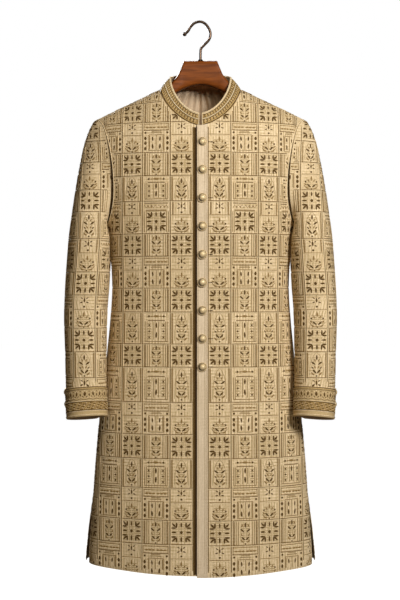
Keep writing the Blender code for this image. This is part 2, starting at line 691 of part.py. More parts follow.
def make_hanger(materials):
    """Wooden suit hanger: sections across it, joined from one tip to the other."""
    half = [row for row in HANGER_LEVELS if row[0] > 0]
    rows = [(-x, top, low, thick) for x, top, low, thick in reversed(half)]
    rows += list(HANGER_LEVELS)
    bm = bmesh.new()
    rings = []
    for x, top, low, thick in rows:
        tall = top - low
        outline = (
            (0.0, top),
            (thick * 0.70, top - thick * 0.70 * ROOF_SLOPE),
            (thick, top - thick * 0.30 - tall * 0.16),
            (thick, low + tall * 0.22),
            (thick * 0.55, low),
        )
        ring = outline + tuple((-y, z) for y, z in reversed(outline[1:]))
        rings.append([bm.verts.new((x, y, z)) for y, z in ring])
    for ring, following in zip(rings, rings[1:]):
        for i in range(len(ring)):
            j = (i + 1) % len(ring)
            bm.faces.new((ring[i], ring[j], following[j], following[i]))
    bm.faces.new(rings[0][::-1])
    bm.faces.new(rings[-1])
    new_object("hanger", materials["stained_wood"], bm)


def smooth_route(points, per_gap):
    """Points along a Catmull-Rom curve through the given ones."""
    points = np.array(points)
    padded = np.vstack([2 * points[0] - points[1], points, 2 * points[-1] - points[-2]])
    run = []
    for i in range(1, len(padded) - 2):
        a, b, c, d = padded[i - 1 : i + 3]
        for t in np.arange(per_gap) / per_gap:
            run.append(
                0.5 * (2 * b + (c - a) * t + (2 * a - 5 * b + 4 * c - d) * t * t
                       + (3 * b - a - 3 * c + d) * t**3)
            )
    return np.array(run + [points[-1]])


def make_hook(materials):
    """Bent wire with a ball end; its foot stands on the wood."""
    route = smooth_route(HOOK_ROUTE, HOOK_CELLS)
    tangents = unit(np.gradient(route, axis=0))
    stations = []
    for angle in np.radians(HOOK_BALL_ANGLES):
        set_back = HOOK_BALL_RADIUS * (math.cos(angle) + HOOK_BALL_SET_BACK)
        centre = route[0] - tangents[0] * set_back
        stations.append((centre, tangents[0], HOOK_BALL_RADIUS * math.sin(angle)))
    stations += [(p, t, HOOK_RADIUS) for p, t in zip(route, tangents)]
    foot = np.array([0.0, HANGER_LEVELS[0][1] + SEAM])
    stations[-1] = (foot, np.array([0.0, -1.0]), HOOK_RADIUS)
    bm = bmesh.new()
    rings = []
    for centre, tangent, radius in stations:
        across = np.array([-tangent[1], tangent[0]])
        ring = []
        for k in range(HOOK_SIDES):
            angle = 2 * math.pi * k / HOOK_SIDES
            flat = centre + across * radius * math.cos(angle)
            ring.append(bm.verts.new((flat[0], radius * math.sin(angle), flat[1])))
        rings.append(ring)
    for ring, following in zip(rings, rings[1:]):
        for i in range(HOOK_SIDES):
            j = (i + 1) % HOOK_SIDES
            bm.faces.new((ring[i], ring[j], following[j], following[i]))
    bm.faces.new(rings[0][::-1])
    bm.faces.new(rings[-1])
    new_object("hook", materials["bronzed_steel"], bm)


# ---- Everything together ---------------------------------------------------------


def make_materials():
    made = {}
    for name, (colour, roughness, metallic) in MATERIALS.items():
        material = bpy.data.materials.new(name)
        material.use_nodes = True
        shader = material.node_tree.nodes["Principled BSDF"]
        shader.inputs["Base Color"].default_value = (*colour, 1.0)
        shader.inputs["Roughness"].default_value = roughness
        shader.inputs["Metallic"].default_value = metallic
        made[name] = material
    return made


def clear_scene():
    for old in list(bpy.data.objects):
        bpy.data.objects.remove(old, do_unlink=True)


def main():
    clear_scene()
    materials = make_materials()
    left, right, placket = make_fronts_and_placket(materials)
    back = make_back(materials)
    make_collar(materials, left, right, back)
    band = make_sleeves(materials)
    make_cuff_buttons(materials, band)
    make_front_buttons(materials, placket)
    make_hanger(materials)
    make_hook(materials)


main()
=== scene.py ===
import math

import bmesh
import bpy
import numpy as np
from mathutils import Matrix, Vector


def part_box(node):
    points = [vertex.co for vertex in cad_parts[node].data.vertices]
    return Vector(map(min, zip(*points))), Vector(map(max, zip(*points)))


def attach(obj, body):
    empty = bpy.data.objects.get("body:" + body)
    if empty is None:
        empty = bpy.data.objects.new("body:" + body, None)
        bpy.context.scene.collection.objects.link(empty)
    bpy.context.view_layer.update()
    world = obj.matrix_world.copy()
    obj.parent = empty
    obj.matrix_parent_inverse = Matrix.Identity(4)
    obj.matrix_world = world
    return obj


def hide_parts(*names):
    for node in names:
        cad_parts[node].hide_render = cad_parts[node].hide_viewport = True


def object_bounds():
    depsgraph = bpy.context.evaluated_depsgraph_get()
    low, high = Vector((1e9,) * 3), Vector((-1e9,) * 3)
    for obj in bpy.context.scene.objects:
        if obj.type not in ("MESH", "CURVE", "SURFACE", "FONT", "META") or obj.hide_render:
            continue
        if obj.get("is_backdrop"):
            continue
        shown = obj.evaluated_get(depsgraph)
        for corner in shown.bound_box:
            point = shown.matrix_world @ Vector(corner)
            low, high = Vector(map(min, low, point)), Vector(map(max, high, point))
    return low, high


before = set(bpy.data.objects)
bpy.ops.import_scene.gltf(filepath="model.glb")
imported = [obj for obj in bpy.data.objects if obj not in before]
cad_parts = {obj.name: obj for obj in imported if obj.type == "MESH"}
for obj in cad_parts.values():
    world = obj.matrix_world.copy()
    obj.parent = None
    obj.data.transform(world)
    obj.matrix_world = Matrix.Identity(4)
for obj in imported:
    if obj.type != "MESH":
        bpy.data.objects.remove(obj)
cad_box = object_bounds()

# Looks of the sherwani coat on its hanger. Metres, +Z up, fronts towards -Y. The forms
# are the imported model's own, read more finely; the silk's pattern is charted below in
# tiles, and its leaves and cords are laid on those forms.

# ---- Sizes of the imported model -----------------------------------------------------

SEAM, CLOTH, OVERLAP_AIR = 0.0003, 0.0018, 0.0004
SHOULDER_X, NECK_X, NECK_Z, SHOULDER_SLOPE = 0.2277, 0.0878, -0.1473, 0.471
NECK_DROP_FRONT, NECK_RISE_BACK, NECK_SQUARENESS = 0.089, 0.008, 1.62
CHEST_Z, UNDERARM_Z = -0.420, -0.448
SLIT_Z, SLIT_FLARE, SLIT_GAPE = -0.982, 0.0095, 0.0060
HEM_Z, HEM_SIDE_RISE, HEM_STEP, HEM_RISE_POWER = -1.1950, 0.0125, 0.0015, 1.6
PLAN_POWER, SHOULDER_POWER, RIDGE_POWER = 2.2, 2.5, 1.5
WAVE_DEPTH, WAVES_TO_SIDE, WAVE_TOP_Z, WAVE_GROWTH = 0.0030, 1.5, -0.700, 0.450
GAPE_POWER = 8
BODY_LEVELS = (
    # height, half_width, front_depth, back_depth
    (-1.2000, 0.2440, 0.1180, 0.1200),
    (-1.1370, 0.2410, 0.1155, 0.1175),
    (-1.0050, 0.2325, 0.1095, 0.1120),
    (-0.9170, 0.2262, 0.1055, 0.1080),
    (-0.8690, 0.2215, 0.1030, 0.1050),
    (-0.7190, 0.2042, 0.0945, 0.0930),
    (-0.6530, 0.1975, 0.0900, 0.0860),
    (-0.5830, 0.1935, 0.0875, 0.0815),
    (-0.5000, 0.1985, 0.0925, 0.0860),
    (-0.4480, 0.2055, 0.0975, 0.0925),
    (-0.4065, 0.2121, 0.1000, 0.0970),
    (-0.3570, 0.2217, 0.1000, 0.1000),
    (-0.3070, 0.2302, 0.0990, 0.1000),
    (-0.2556, 0.2387, 0.0970, 0.0980),
    (-0.2138, 0.2450, 0.0950, 0.0960),
    (-0.1000, 0.2600, 0.0950, 0.0960),
)
ARMHOLE_DEPTH_Y, ARMHOLE_ROUNDNESS, ARMHOLE_LOW_FULLNESS = 0.0565, 0.85, 0.10
ARMHOLE_TOP_TURN = 0.30
LEFT_EDGE_X, RIGHT_EDGE_X = -0.0075, -0.0200
LAP_FLAT_X, LAP_RAMP = 0.0260, 0.0550
COLLAR_END_X, PLACKET_X, PLACKET_THICKNESS = 0.0034, 0.0153, 0.0015
COLLAR_THICKNESS, COLLAR_FULLNESS = 0.0025, 0.0016
COLLAR_RIM_X, COLLAR_RIM_POWER = 0.0655, 1.77
COLLAR_RIM_FRONT, COLLAR_RIM_SIDE_Z = (-0.0800, -0.2090), -0.1190
COLLAR_RIM_BACK = (0.0400, -0.1065)
SLEEVE_LEVELS = (
    # height, centre_x, centre_y, half_width, half_depth
    (-0.4750, 0.2395, -0.0040, 0.0490, 0.0730),
    (-0.5200, 0.2425, -0.0065, 0.0492, 0.0705),
    (-0.5830, 0.2468, -0.0120, 0.0487, 0.0660),
    (-0.6530, 0.2498, -0.0220, 0.0468, 0.0605),
    (-0.7190, 0.2483, -0.0350, 0.0450, 0.0555),
    (-0.8010, 0.2463, -0.0510, 0.0441, 0.0505),
    (-0.8630, 0.2437, -0.0635, 0.0430, 0.0480),
)
SLEEVE_POWER, SLEEVE_CLEARANCE, CLEARANCE_SOFTNESS = 2.25, 0.0075, 0.004
CLEARANCE_START, CLEARANCE_GROWTH = 0.012, 0.020
UNDERARM_LIFT, LIFT_START, UNDER_ARM_FROM = 105.0, 1.5, 0.2
HEAD_LEAN, HEAD_LEAN_SPREAD, HEAD_LEAN_SIDE = -0.050, -0.068, 0.050
HEAD_REACH, HEAD_REACH_SIDE, HEAD_REACH_LOW, BICEPS_REACH = 0.12, 0.05, 0.13, 0.42
CUFF_TILT_BACK, CUFF_TILT_OUT = 0.150, 0.075
CUFF_BAND_TOP, CUFF_BAND_THICKNESS = -0.8010, 0.0015
BUTTON_TOP_Z, BUTTON_PITCH, BUTTON_RADIUS = -0.2721, 0.0600, 0.0102
HOOK_RADIUS, HOOK_BALL_RADIUS = 0.0029, 0.0045
HOOK_ROUTE = (
    (-0.0330, -0.0231), (-0.0273, -0.0180), (-0.0222, -0.0093), (-0.0135, -0.0006),
    (-0.0010, 0.0029), (0.0101, -0.0016), (0.0189, -0.0132), (0.0220, -0.0260),
    (0.0180, -0.0378), (0.0081, -0.0486), (0.0013, -0.0565), (0.0000, -0.0673),
    (0.0000, -0.0837),
)
ROOF_SLOPE = 0.34
HANGER_LEVELS = (
    # distance_out, top, bottom, half_thickness
    (0.0000, -0.0832, -0.1360, 0.0120),
    (0.0366, -0.0832, -0.1435, 0.0120),
    (0.0428, -0.0990, -0.1470, 0.0125),
    (0.0496, -0.1148, -0.1520, 0.0130),
    (0.0600, -0.1265, -0.1590, 0.0135),
    (0.0740, -0.1425, -0.1680, 0.0145),
    (0.0878, -0.1530, -0.1765, 0.0155),
    (0.1000, -0.1554, -0.1840, 0.0160),
    (0.1300, -0.1695, -0.2010, 0.0180),
    (0.1800, -0.1931, -0.2260, 0.0200),
    (0.2100, -0.2072, -0.2370, 0.0200),
    (0.2165, -0.2130, -0.2330, 0.0150),
)


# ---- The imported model's forms --------------------------------------------------------


def smooth_column(rows, column):
    """A smooth function of the table's first column that passes through its rows."""
    rows = sorted(rows)
    at = np.array([row[0] for row in rows])
    value = np.array([row[column] for row in rows])
    step = np.diff(at)
    rise = np.diff(value) / step
    slope = np.concatenate(([rise[0]], np.zeros(len(rise) - 1), [rise[-1]]))
    for i in range(1, len(rise)):
        if rise[i - 1] * rise[i] > 0:
            slope[i] = 2 * rise[i - 1] * rise[i] / (rise[i - 1] + rise[i])

    def read(where):
        where = np.clip(where, at[0], at[-1])
        i = np.clip(np.searchsorted(at, where, side="right") - 1, 0, len(step) - 1)
        t = (where - at[i]) / step[i]
        start = (1 + 2 * t) * (1 - t) ** 2 * value[i] + t * (1 - t) ** 2 * step[i] * slope[i]
        end = t**2 * (3 - 2 * t) * value[i + 1] + t**2 * (t - 1) * step[i] * slope[i + 1]
        return start + end

    return read


half_width_at = smooth_column(BODY_LEVELS, 1)
front_depth_at = smooth_column(BODY_LEVELS, 2)
back_depth_at = smooth_column(BODY_LEVELS, 3)
sleeve_columns = [smooth_column(SLEEVE_LEVELS, column) for column in (1, 2, 3, 4)]


def ease(amount):
    amount = np.clip(amount, 0.0, 1.0)
    return amount * amount * (3 - 2 * amount)


def unit(vectors):
    return vectors / np.maximum(np.linalg.norm(vectors, axis=-1, keepdims=True), 1e-12)


def below_slit(z):
    """0 at the top of the side slits and above, growing to 1 at the hem."""
    return ease((SLIT_Z - z) / (SLIT_Z - HEM_Z))


def run_along(points):
    """Metres along lines of points, from the start of each."""
    step = np.linalg.norm(np.diff(points, axis=-2), axis=-1)
    return np.concatenate([np.zeros_like(step[..., :1]), np.cumsum(step, axis=-1)], axis=-1)


def body_width(z, face):
    return half_width_at(z) + (SLIT_FLARE * below_slit(z) if face > 0 else 0.0)


def body_reach(z, face):
    return front_depth_at(z) if face < 0 else back_depth_at(z)


def shoulder_height(x):
    x = np.abs(x)
    bend = SHOULDER_SLOPE / (RIDGE_POWER * NECK_X ** (RIDGE_POWER - 1))
    inside = NECK_Z + bend * (NECK_X**RIDGE_POWER - x**RIDGE_POWER)
    return np.where(x < NECK_X, inside, NECK_Z - SHOULDER_SLOPE * (x - NECK_X))


def climb(x, z):
    return np.clip((z - CHEST_Z) / (shoulder_height(x) - CHEST_Z), 0.0, 1.0)


def rounding(x, z):
    """How much of its depth the body keeps on the way up to the shoulder ridge."""
    return (1 - climb(x, z) ** SHOULDER_POWER) ** (1 / SHOULDER_POWER)


def body_depth(x, z, face):
    inward = np.clip(1 - (np.abs(x) / body_width(z, face)) ** PLAN_POWER, 0.0, 1.0)
    return body_reach(z, face) * inward ** (1 / PLAN_POWER) * rounding(x, z)


def body_normal(x, y, z, face):
    def level(x, y, z):
        across = (np.abs(x) / body_width(z, face)) ** PLAN_POWER
        reach = body_reach(z, face)
        low = across + (np.abs(y) / reach) ** PLAN_POWER
        room = reach * np.clip(1 - across, 1e-6, 1.0) ** (1 / PLAN_POWER)
        high = (np.abs(y) / room) ** SHOULDER_POWER + climb(x, z) ** SHOULDER_POWER
        return np.where(z > CHEST_Z, high, low)

    h = 1e-5
    slope = [
        level(x + h, y, z) - level(x - h, y, z),
        level(x, y + h, z) - level(x, y - h, z),
        level(x, y, z + h) - level(x, y, z - h),
    ]
    return unit(np.stack(slope, axis=-1))


def skirt_wave(x, z, face):
    turn = np.arcsin(np.clip(np.abs(x) / body_width(z, face), 0.0, 1.0))
    return WAVE_DEPTH * ease((WAVE_TOP_Z - z) / WAVE_GROWTH) * np.sin(4 * WAVES_TO_SIDE * turn)


def body_points(x, z, face, out=0.0):
    """Outer points and normals of the form at (x, z), moved out along the normal."""
    depth = body_depth(x, z, face)
    normal = body_normal(x, face * depth, z, face)
    nearness_to_side = (np.abs(x) / body_width(z, face)) ** GAPE_POWER
    gape = SLIT_GAPE * below_slit(z) * nearness_to_side
    y = face * (depth + SEAM / 2 + gape)
    points = np.stack([x, y, z], axis=-1)
    return points + normal * (skirt_wave(x, z, face) + out)[..., None], normal


def neckline(x, face):
    share = np.clip(np.abs(x) / NECK_X, 0.0, 1.0)
    if face > 0:
        return NECK_Z + NECK_RISE_BACK * (1 - share**2)
    drop = NECK_DROP_FRONT * (1 - share**NECK_SQUARENESS) ** (1 / NECK_SQUARENESS)
    return NECK_Z - drop


def hem(x):
    share = np.clip(np.abs(x) / half_width_at(HEM_Z), 0, 1)
    return HEM_Z + HEM_SIDE_RISE * share**HEM_RISE_POWER


def armhole_height(turn):
    top = float(shoulder_height(SHOULDER_X))
    return (top + UNDERARM_Z) / 2 + (top - UNDERARM_Z) / 2 * np.cos(turn)


def armhole_widths(face):
    """The armhole's x at every turn of ARMHOLE_TURNS."""
    held = np.maximum(ARMHOLE_TURNS, ARMHOLE_TOP_TURN)  # straight to its top from here
    z = armhole_height(held)
    fullness = 1 - ARMHOLE_LOW_FULLNESS * np.cos(held)
    bow = ARMHOLE_DEPTH_Y * np.sin(held) ** ARMHOLE_ROUNDNESS * fullness
    x = half_width_at(z)
    for _ in range(ARMHOLE_ROUNDS):
        room = np.maximum(body_reach(z, face) * rounding(x, z), bow + 1e-9)
        inward = (1 - (bow / room) ** PLAN_POWER) ** (1 / PLAN_POWER)
        x = (1 - ARMHOLE_STEP) * x + ARMHOLE_STEP * half_width_at(z) * inward
    x[-1] = half_width_at(z[-1])
    return SHOULDER_X + (x - SHOULDER_X) * np.minimum(ARMHOLE_TURNS / ARMHOLE_TOP_TURN, 1.0)


ARMHOLE_ROUNDS, ARMHOLE_STEP = 120, 0.3  # the width is found by nearing it step by step
ARMHOLE_TURNS = np.linspace(0, math.pi, 6001)
ARMHOLE_X = {face: armhole_widths(face) for face in (-1, 1)}


def armhole(turn, face):
    """(x, z) of the armhole at a turn from 0 on the shoulder to pi under the arm."""
    return np.interp(turn, ARMHOLE_TURNS, ARMHOLE_X[face]), armhole_height(turn)


def neck_columns(first_x, cells):
    """x across the front neckline from first_x, closer together where it turns up."""
    angle = np.linspace(0, math.pi / 2, cells + 1)
    start = (first_x / NECK_X) ** NECK_SQUARENESS
    return NECK_X * (start + (1 - start) * np.sin(angle)) ** (1 / NECK_SQUARENESS)


def half_panel(first_x, face, yoke_rows, skirt_rows, neck_cells, shoulder_cells):
    """(x, z) grid of one side of a panel: rows go down, columns go out from first_x."""
    turns = np.linspace(0, math.pi, yoke_rows + 1)
    down = (1 - np.cos(turns)) / 2
    arm_x, arm_z = armhole(turns, face)
    neck_x = neck_columns(first_x, neck_cells)
    if face > 0:
        angle = np.linspace(0, math.pi / 2, neck_cells + 1)
        neck_x = first_x + (NECK_X - first_x) * np.sin(angle)
    shoulder_x = np.linspace(NECK_X, SHOULDER_X, shoulder_cells + 1)[1:]
    top_x = np.concatenate([neck_x, shoulder_x])
    top_z = np.concatenate([neckline(neck_x, face), shoulder_height(shoulder_x)])
    cells = neck_cells + shoulder_cells

    def row_across(z):
        width = body_width(z, face)
        first = math.asin((first_x / width) ** (PLAN_POWER / 2))
        angle = np.linspace(first, math.pi / 2, cells + 1)
        return width * np.sin(angle) ** (2 / PLAN_POWER)

    low_x = row_across(UNDERARM_Z)
    share = np.linspace(0, 1, cells + 1)
    rows = []
    for v, edge_x, edge_z in zip(down, arm_x, arm_z):
        inner_z = top_z[0] + v * (UNDERARM_Z - top_z[0])
        x = (1 - v) * top_x + v * low_x + share * (edge_x - (1 - v) * top_x[-1] - v * low_x[-1])
        straight = (1 - share) * (inner_z - (1 - v) * top_z[0] - v * UNDERARM_Z)
        z = (1 - v) * top_z + v * UNDERARM_Z + straight
        z = z + share * (edge_z - (1 - v) * top_z[-1] - v * UNDERARM_Z)
        rows.append((x, z))
    side_hem = float(hem(half_width_at(HEM_Z)))
    for fall in np.linspace(0, 1, skirt_rows + 1)[1:]:
        x = row_across(UNDERARM_Z + fall * (side_hem - UNDERARM_Z))
        rows.append((x, UNDERARM_Z + fall * (hem(x) - UNDERARM_Z)))
    return np.array([row[0] for row in rows]), np.array([row[1] for row in rows])


def with_centre_columns(grid, centre_x, face):
    x, z = grid
    below = z[:, 0]
    fall = (below - below[0]) / (below[-1] - below[0])
    extra = [neckline(c, face) + fall * (hem(c) - neckline(c, face)) for c in centre_x]
    extra_x = np.repeat(np.array(centre_x)[None, :], len(x), axis=0)
    return np.hstack([extra_x, x]), np.hstack([np.array(extra).T, z])


def lap(x):
    return (CLOTH + OVERLAP_AIR) * (1 - ease((x - LAP_FLAT_X) / LAP_RAMP))


def sleeve_section(turn, z):
    centre_x, centre_y, half_x, half_y = (column(z) for column in sleeve_columns)
    across, along = np.cos(turn), -np.sin(turn)
    x = centre_x + half_x * np.sign(across) * np.abs(across) ** (2 / SLEEVE_POWER)
    y = centre_y + half_y * np.sign(along) * np.abs(along) ** (2 / SLEEVE_POWER)
    share = ease((SLEEVE_LEVELS[0][0] - z) / (SLEEVE_LEVELS[0][0] - SLEEVE_LEVELS[-1][0]))
    fall = CUFF_TILT_BACK * (y - centre_y) + CUFF_TILT_OUT * (x - centre_x)
    return np.stack([x, y, z - share * fall], axis=-1)


def armhole_start(turn):
    turn = np.mod(turn, 2 * math.pi)
    from_top = np.minimum(turn, 2 * math.pi - turn)
    start = np.empty(turn.shape + (3,))
    normal = np.empty_like(start)
    along = np.empty_like(start)
    step = 1e-3
    for face, chosen in ((-1, turn <= math.pi), (1, turn > math.pi)):
        here = from_top[chosen]
        run = []
        for at in (here - step, here, here + step):
            x, z = armhole(np.clip(at, 0, math.pi), face)
            run.append(body_points(x, z, face))
        start[chosen], normal[chosen] = run[1]
        along[chosen] = unit(run[2][0] - run[0][0])
    ends = (from_top < step) | (from_top > math.pi - step)
    along[ends] = (0.0, 1.0, 0.0)
    start[ends, 1] = 0.0
    normal[ends, 1] = 0.0
    normal = unit(normal)
    hole = np.array([SHOULDER_X, 0.0, (shoulder_height(SHOULDER_X) + UNDERARM_Z) / 2])
    away = hole - start
    away[from_top < step] = (1.0, 0.0, -SHOULDER_SLOPE)
    for axis in (normal, along):
        away = away - axis * (away * axis).sum(axis=-1, keepdims=True)
    away = unit(away)
    lift = math.radians(UNDERARM_LIFT) * ease((from_top - LIFT_START) / (math.pi - LIFT_START))
    lift = lift[..., None]
    return start + away * SEAM, away * np.cos(lift) + normal * np.sin(lift)


def clear_of_body(points):
    x, y, z = points[..., 0], points[..., 1], points[..., 2]
    moved = x.copy()
    for face in (-1, 1):
        reach = body_reach(z, face) + SLEEVE_CLEARANCE
        room = np.clip(1 - (np.abs(y) / reach) ** PLAN_POWER, 0, 1) ** (1 / PLAN_POWER)
        limit = (half_width_at(z) + SLEEVE_CLEARANCE) * room
        pushed = 0.5 * (x + limit + np.sqrt((x - limit) ** 2 + CLEARANCE_SOFTNESS**2))
        strength = ease((UNDERARM_Z + CLEARANCE_START - z) / CLEARANCE_GROWTH)
        here = (y < 0) if face < 0 else (y >= 0)
        moved = np.where(here, x + (pushed - x) * strength, moved)
    return np.stack([moved, y, z], axis=-1)


def sleeve_points(turn, way):
    """Outer points of the wearer's left sleeve: way 0 to 1 is the head, 1 to 2 the arm
    down to the cuff band, and 2 to 3 the band."""
    start, heading = armhole_start(turn)
    top_z, low_z = SLEEVE_LEVELS[0][0], SLEEVE_LEVELS[-1][0]
    biceps = sleeve_section(turn, np.full(turn.shape, top_z))
    lean_out = HEAD_LEAN + HEAD_LEAN_SPREAD * np.cos(turn)
    lean_back = HEAD_LEAN_SIDE * np.sin(turn)
    upward = unit(np.stack([lean_out, lean_back, np.ones(turn.shape)], axis=-1))
    span = np.linalg.norm(biceps - start, axis=-1, keepdims=True)
    under_arm = ease((-np.cos(turn) - UNDER_ARM_FROM) / (1 - UNDER_ARM_FROM))
    reach = HEAD_REACH + HEAD_REACH_SIDE * np.abs(np.sin(turn)) + HEAD_REACH_LOW * under_arm
    first = start + heading * span * reach[..., None]
    second = biceps + upward * span * BICEPS_REACH
    t = np.clip(way, 0, 1)[..., None]
    head = (1 - t) ** 3 * start + 3 * t * (1 - t) ** 2 * first
    head = head + 3 * t * t * (1 - t) * second + t**3 * biceps
    arm_z = np.interp(way, (1, 2, 3), (top_z, CUFF_BAND_TOP, low_z))
    arm = sleeve_section(turn, arm_z)
    return clear_of_body(np.where(way[..., None] < 1, head, arm))


def sleeve_skin(turn, way, out=0.0):
    """Points and normals of the sleeve, moved out."""
    step = 1e-3
    down = sleeve_points(turn, way + step) - sleeve_points(turn, np.maximum(way - step, 0))
    around = sleeve_points(turn + step, way) - sleeve_points(turn - step, way)
    normal = unit(np.cross(around, down))
    return sleeve_points(turn, way) + normal * np.asarray(out)[..., None], normal


def rim_points(x, faces):
    share = np.clip(np.abs(x) / COLLAR_RIM_X, 0.0, 1.0)
    bow = (1 - share**COLLAR_RIM_POWER) ** (1 / COLLAR_RIM_POWER)
    depth = np.where(faces < 0, COLLAR_RIM_FRONT[0], COLLAR_RIM_BACK[0])
    height = np.where(faces < 0, COLLAR_RIM_FRONT[1], COLLAR_RIM_BACK[1])
    z = COLLAR_RIM_SIDE_Z + (height - COLLAR_RIM_SIDE_Z) * bow
    return np.stack([x, depth * np.sqrt(1 - share**2), z], axis=-1)


# ---- Cloth measured in metres: u round the body, v up it ------------------------------
# v is the height below the chest, and the length up the cloth above it.


def sampled(table, a, b):
    """Bilinear reading of a table at fractional indices."""
    a = np.clip(a, 0, table.shape[0] - 1.001)
    b = np.clip(b, 0, table.shape[1] - 1.001)
    i, j = a.astype(int), b.astype(int)
    s, t = a - i, b - j
    low = table[i, j] * (1 - t) + table[i, j + 1] * t
    high = table[i + 1, j] * (1 - t) + table[i + 1, j + 1] * t
    return low * (1 - s) + high * s


class BodyChart:
    """Where (u, v) lies on the fronts or on the back."""

    LOW, HIGH, LEVELS, WIDE, COLUMNS = -1.215, CHEST_Z, 140, 0.36, 361
    FAR_X, FAR_COLUMNS, TALL, RISES = 0.250, 126, 0.36, 181  # above the chest
    RIDGE_ROOM = {-1: 0.0075, 1: 0.002}  # kept plain beside the shoulder seam

    def __init__(self, face):
        self.face = face
        self.z = np.linspace(self.LOW, self.HIGH, self.LEVELS)
        angle = np.linspace(0, math.pi / 2, 241)
        self.u = np.linspace(0, self.WIDE, self.COLUMNS)
        across, self.side = [], []
        for z in self.z:
            x = body_width(z, face) * np.sin(angle) ** (2 / PLAN_POWER)
            y = body_depth(x, np.full_like(x, z), face)
            run = run_along(np.stack([x, y], axis=-1))
            across.append(np.interp(self.u, run, x))
            self.side.append(run[-1])
        self.across, self.side = np.array(across), np.array(self.side)
        # up the cloth from the chest at each x
        self.x = np.linspace(0, self.FAR_X, self.FAR_COLUMNS)
        self.up = np.linspace(0, self.TALL, self.RISES)
        share = 1 - (1 - np.linspace(0, 1, 300)) ** 2.5
        rise, self.ridge = [], []
        for x in self.x:
            z = CHEST_Z + share * (shoulder_height(x) - CHEST_Z)
            y = body_depth(np.full_like(z, x), z, face)
            run = run_along(np.stack([z, y], axis=-1))
            rise.append(np.interp(self.up, run, z))
            self.ridge.append(run[-1])
        self.rise, self.ridge = np.array(rise), np.array(self.ridge)
        turns = np.linspace(0, math.pi, 80)
        self.arm_x, self.arm_z = armhole(turns, face)

    def xz(self, u, v):
        low = np.minimum(v, CHEST_Z)
        a = (low - self.LOW) / (self.HIGH - self.LOW) * (self.LEVELS - 1)
        x = sampled(self.across, a, np.abs(u) / self.WIDE * (self.COLUMNS - 1))
        b = np.clip(v - CHEST_Z, 0, None) / self.up[-1] * (len(self.up) - 1)
        z = sampled(self.rise, x / self.x[-1] * (len(self.x) - 1), b)
        return np.sign(u) * x, np.where(v > CHEST_Z, z, v)

    def uv(self, x, z):
        """The other way round, for the cloth's own grid."""
        a = (np.minimum(z, CHEST_Z) - self.LOW) / (self.HIGH - self.LOW) * (self.LEVELS - 1)
        u = np.empty_like(x)
        v = z.copy()
        for index in np.ndindex(x.shape):
            i = min(int(a[index]), self.LEVELS - 2)
            t = a[index] - i
            line = self.across[i] * (1 - t) + self.across[i + 1] * t
            u[index] = math.copysign(np.interp(abs(x[index]), line, self.u), x[index])
            if z[index] > CHEST_Z:
                j = min(int(abs(x[index]) / self.x[-1] * (len(self.x) - 1)), len(self.x) - 2)
                v[index] = CHEST_Z + np.interp(z[index], self.rise[j], self.up)
        return u, v

    def inside(self, u, v, margin, first=0.0):
        """Whether the cloth is there, with a margin from its edges."""
        x, z = self.xz(u, v)
        far = np.abs(x)
        a = np.clip((np.minimum(v, CHEST_Z) - self.LOW) / (self.HIGH - self.LOW), 0, 1)
        side = np.interp(a, np.linspace(0, 1, self.LEVELS), self.side)
        good = (np.abs(u) < side - margin) | (v > CHEST_Z)
        good &= z > hem(far) + margin
        ridge = np.interp(far, self.x, self.ridge)
        good &= v - CHEST_Z < ridge - margin - self.RIDGE_ROOM[self.face]
        good &= (far > NECK_X) | (z < neckline(far, self.face) - margin)
        arm = np.interp(z, self.arm_z[::-1], self.arm_x[::-1])
        good &= (z < UNDERARM_Z + margin) | (far < arm - margin)
        return good & (np.abs(u) >= first)


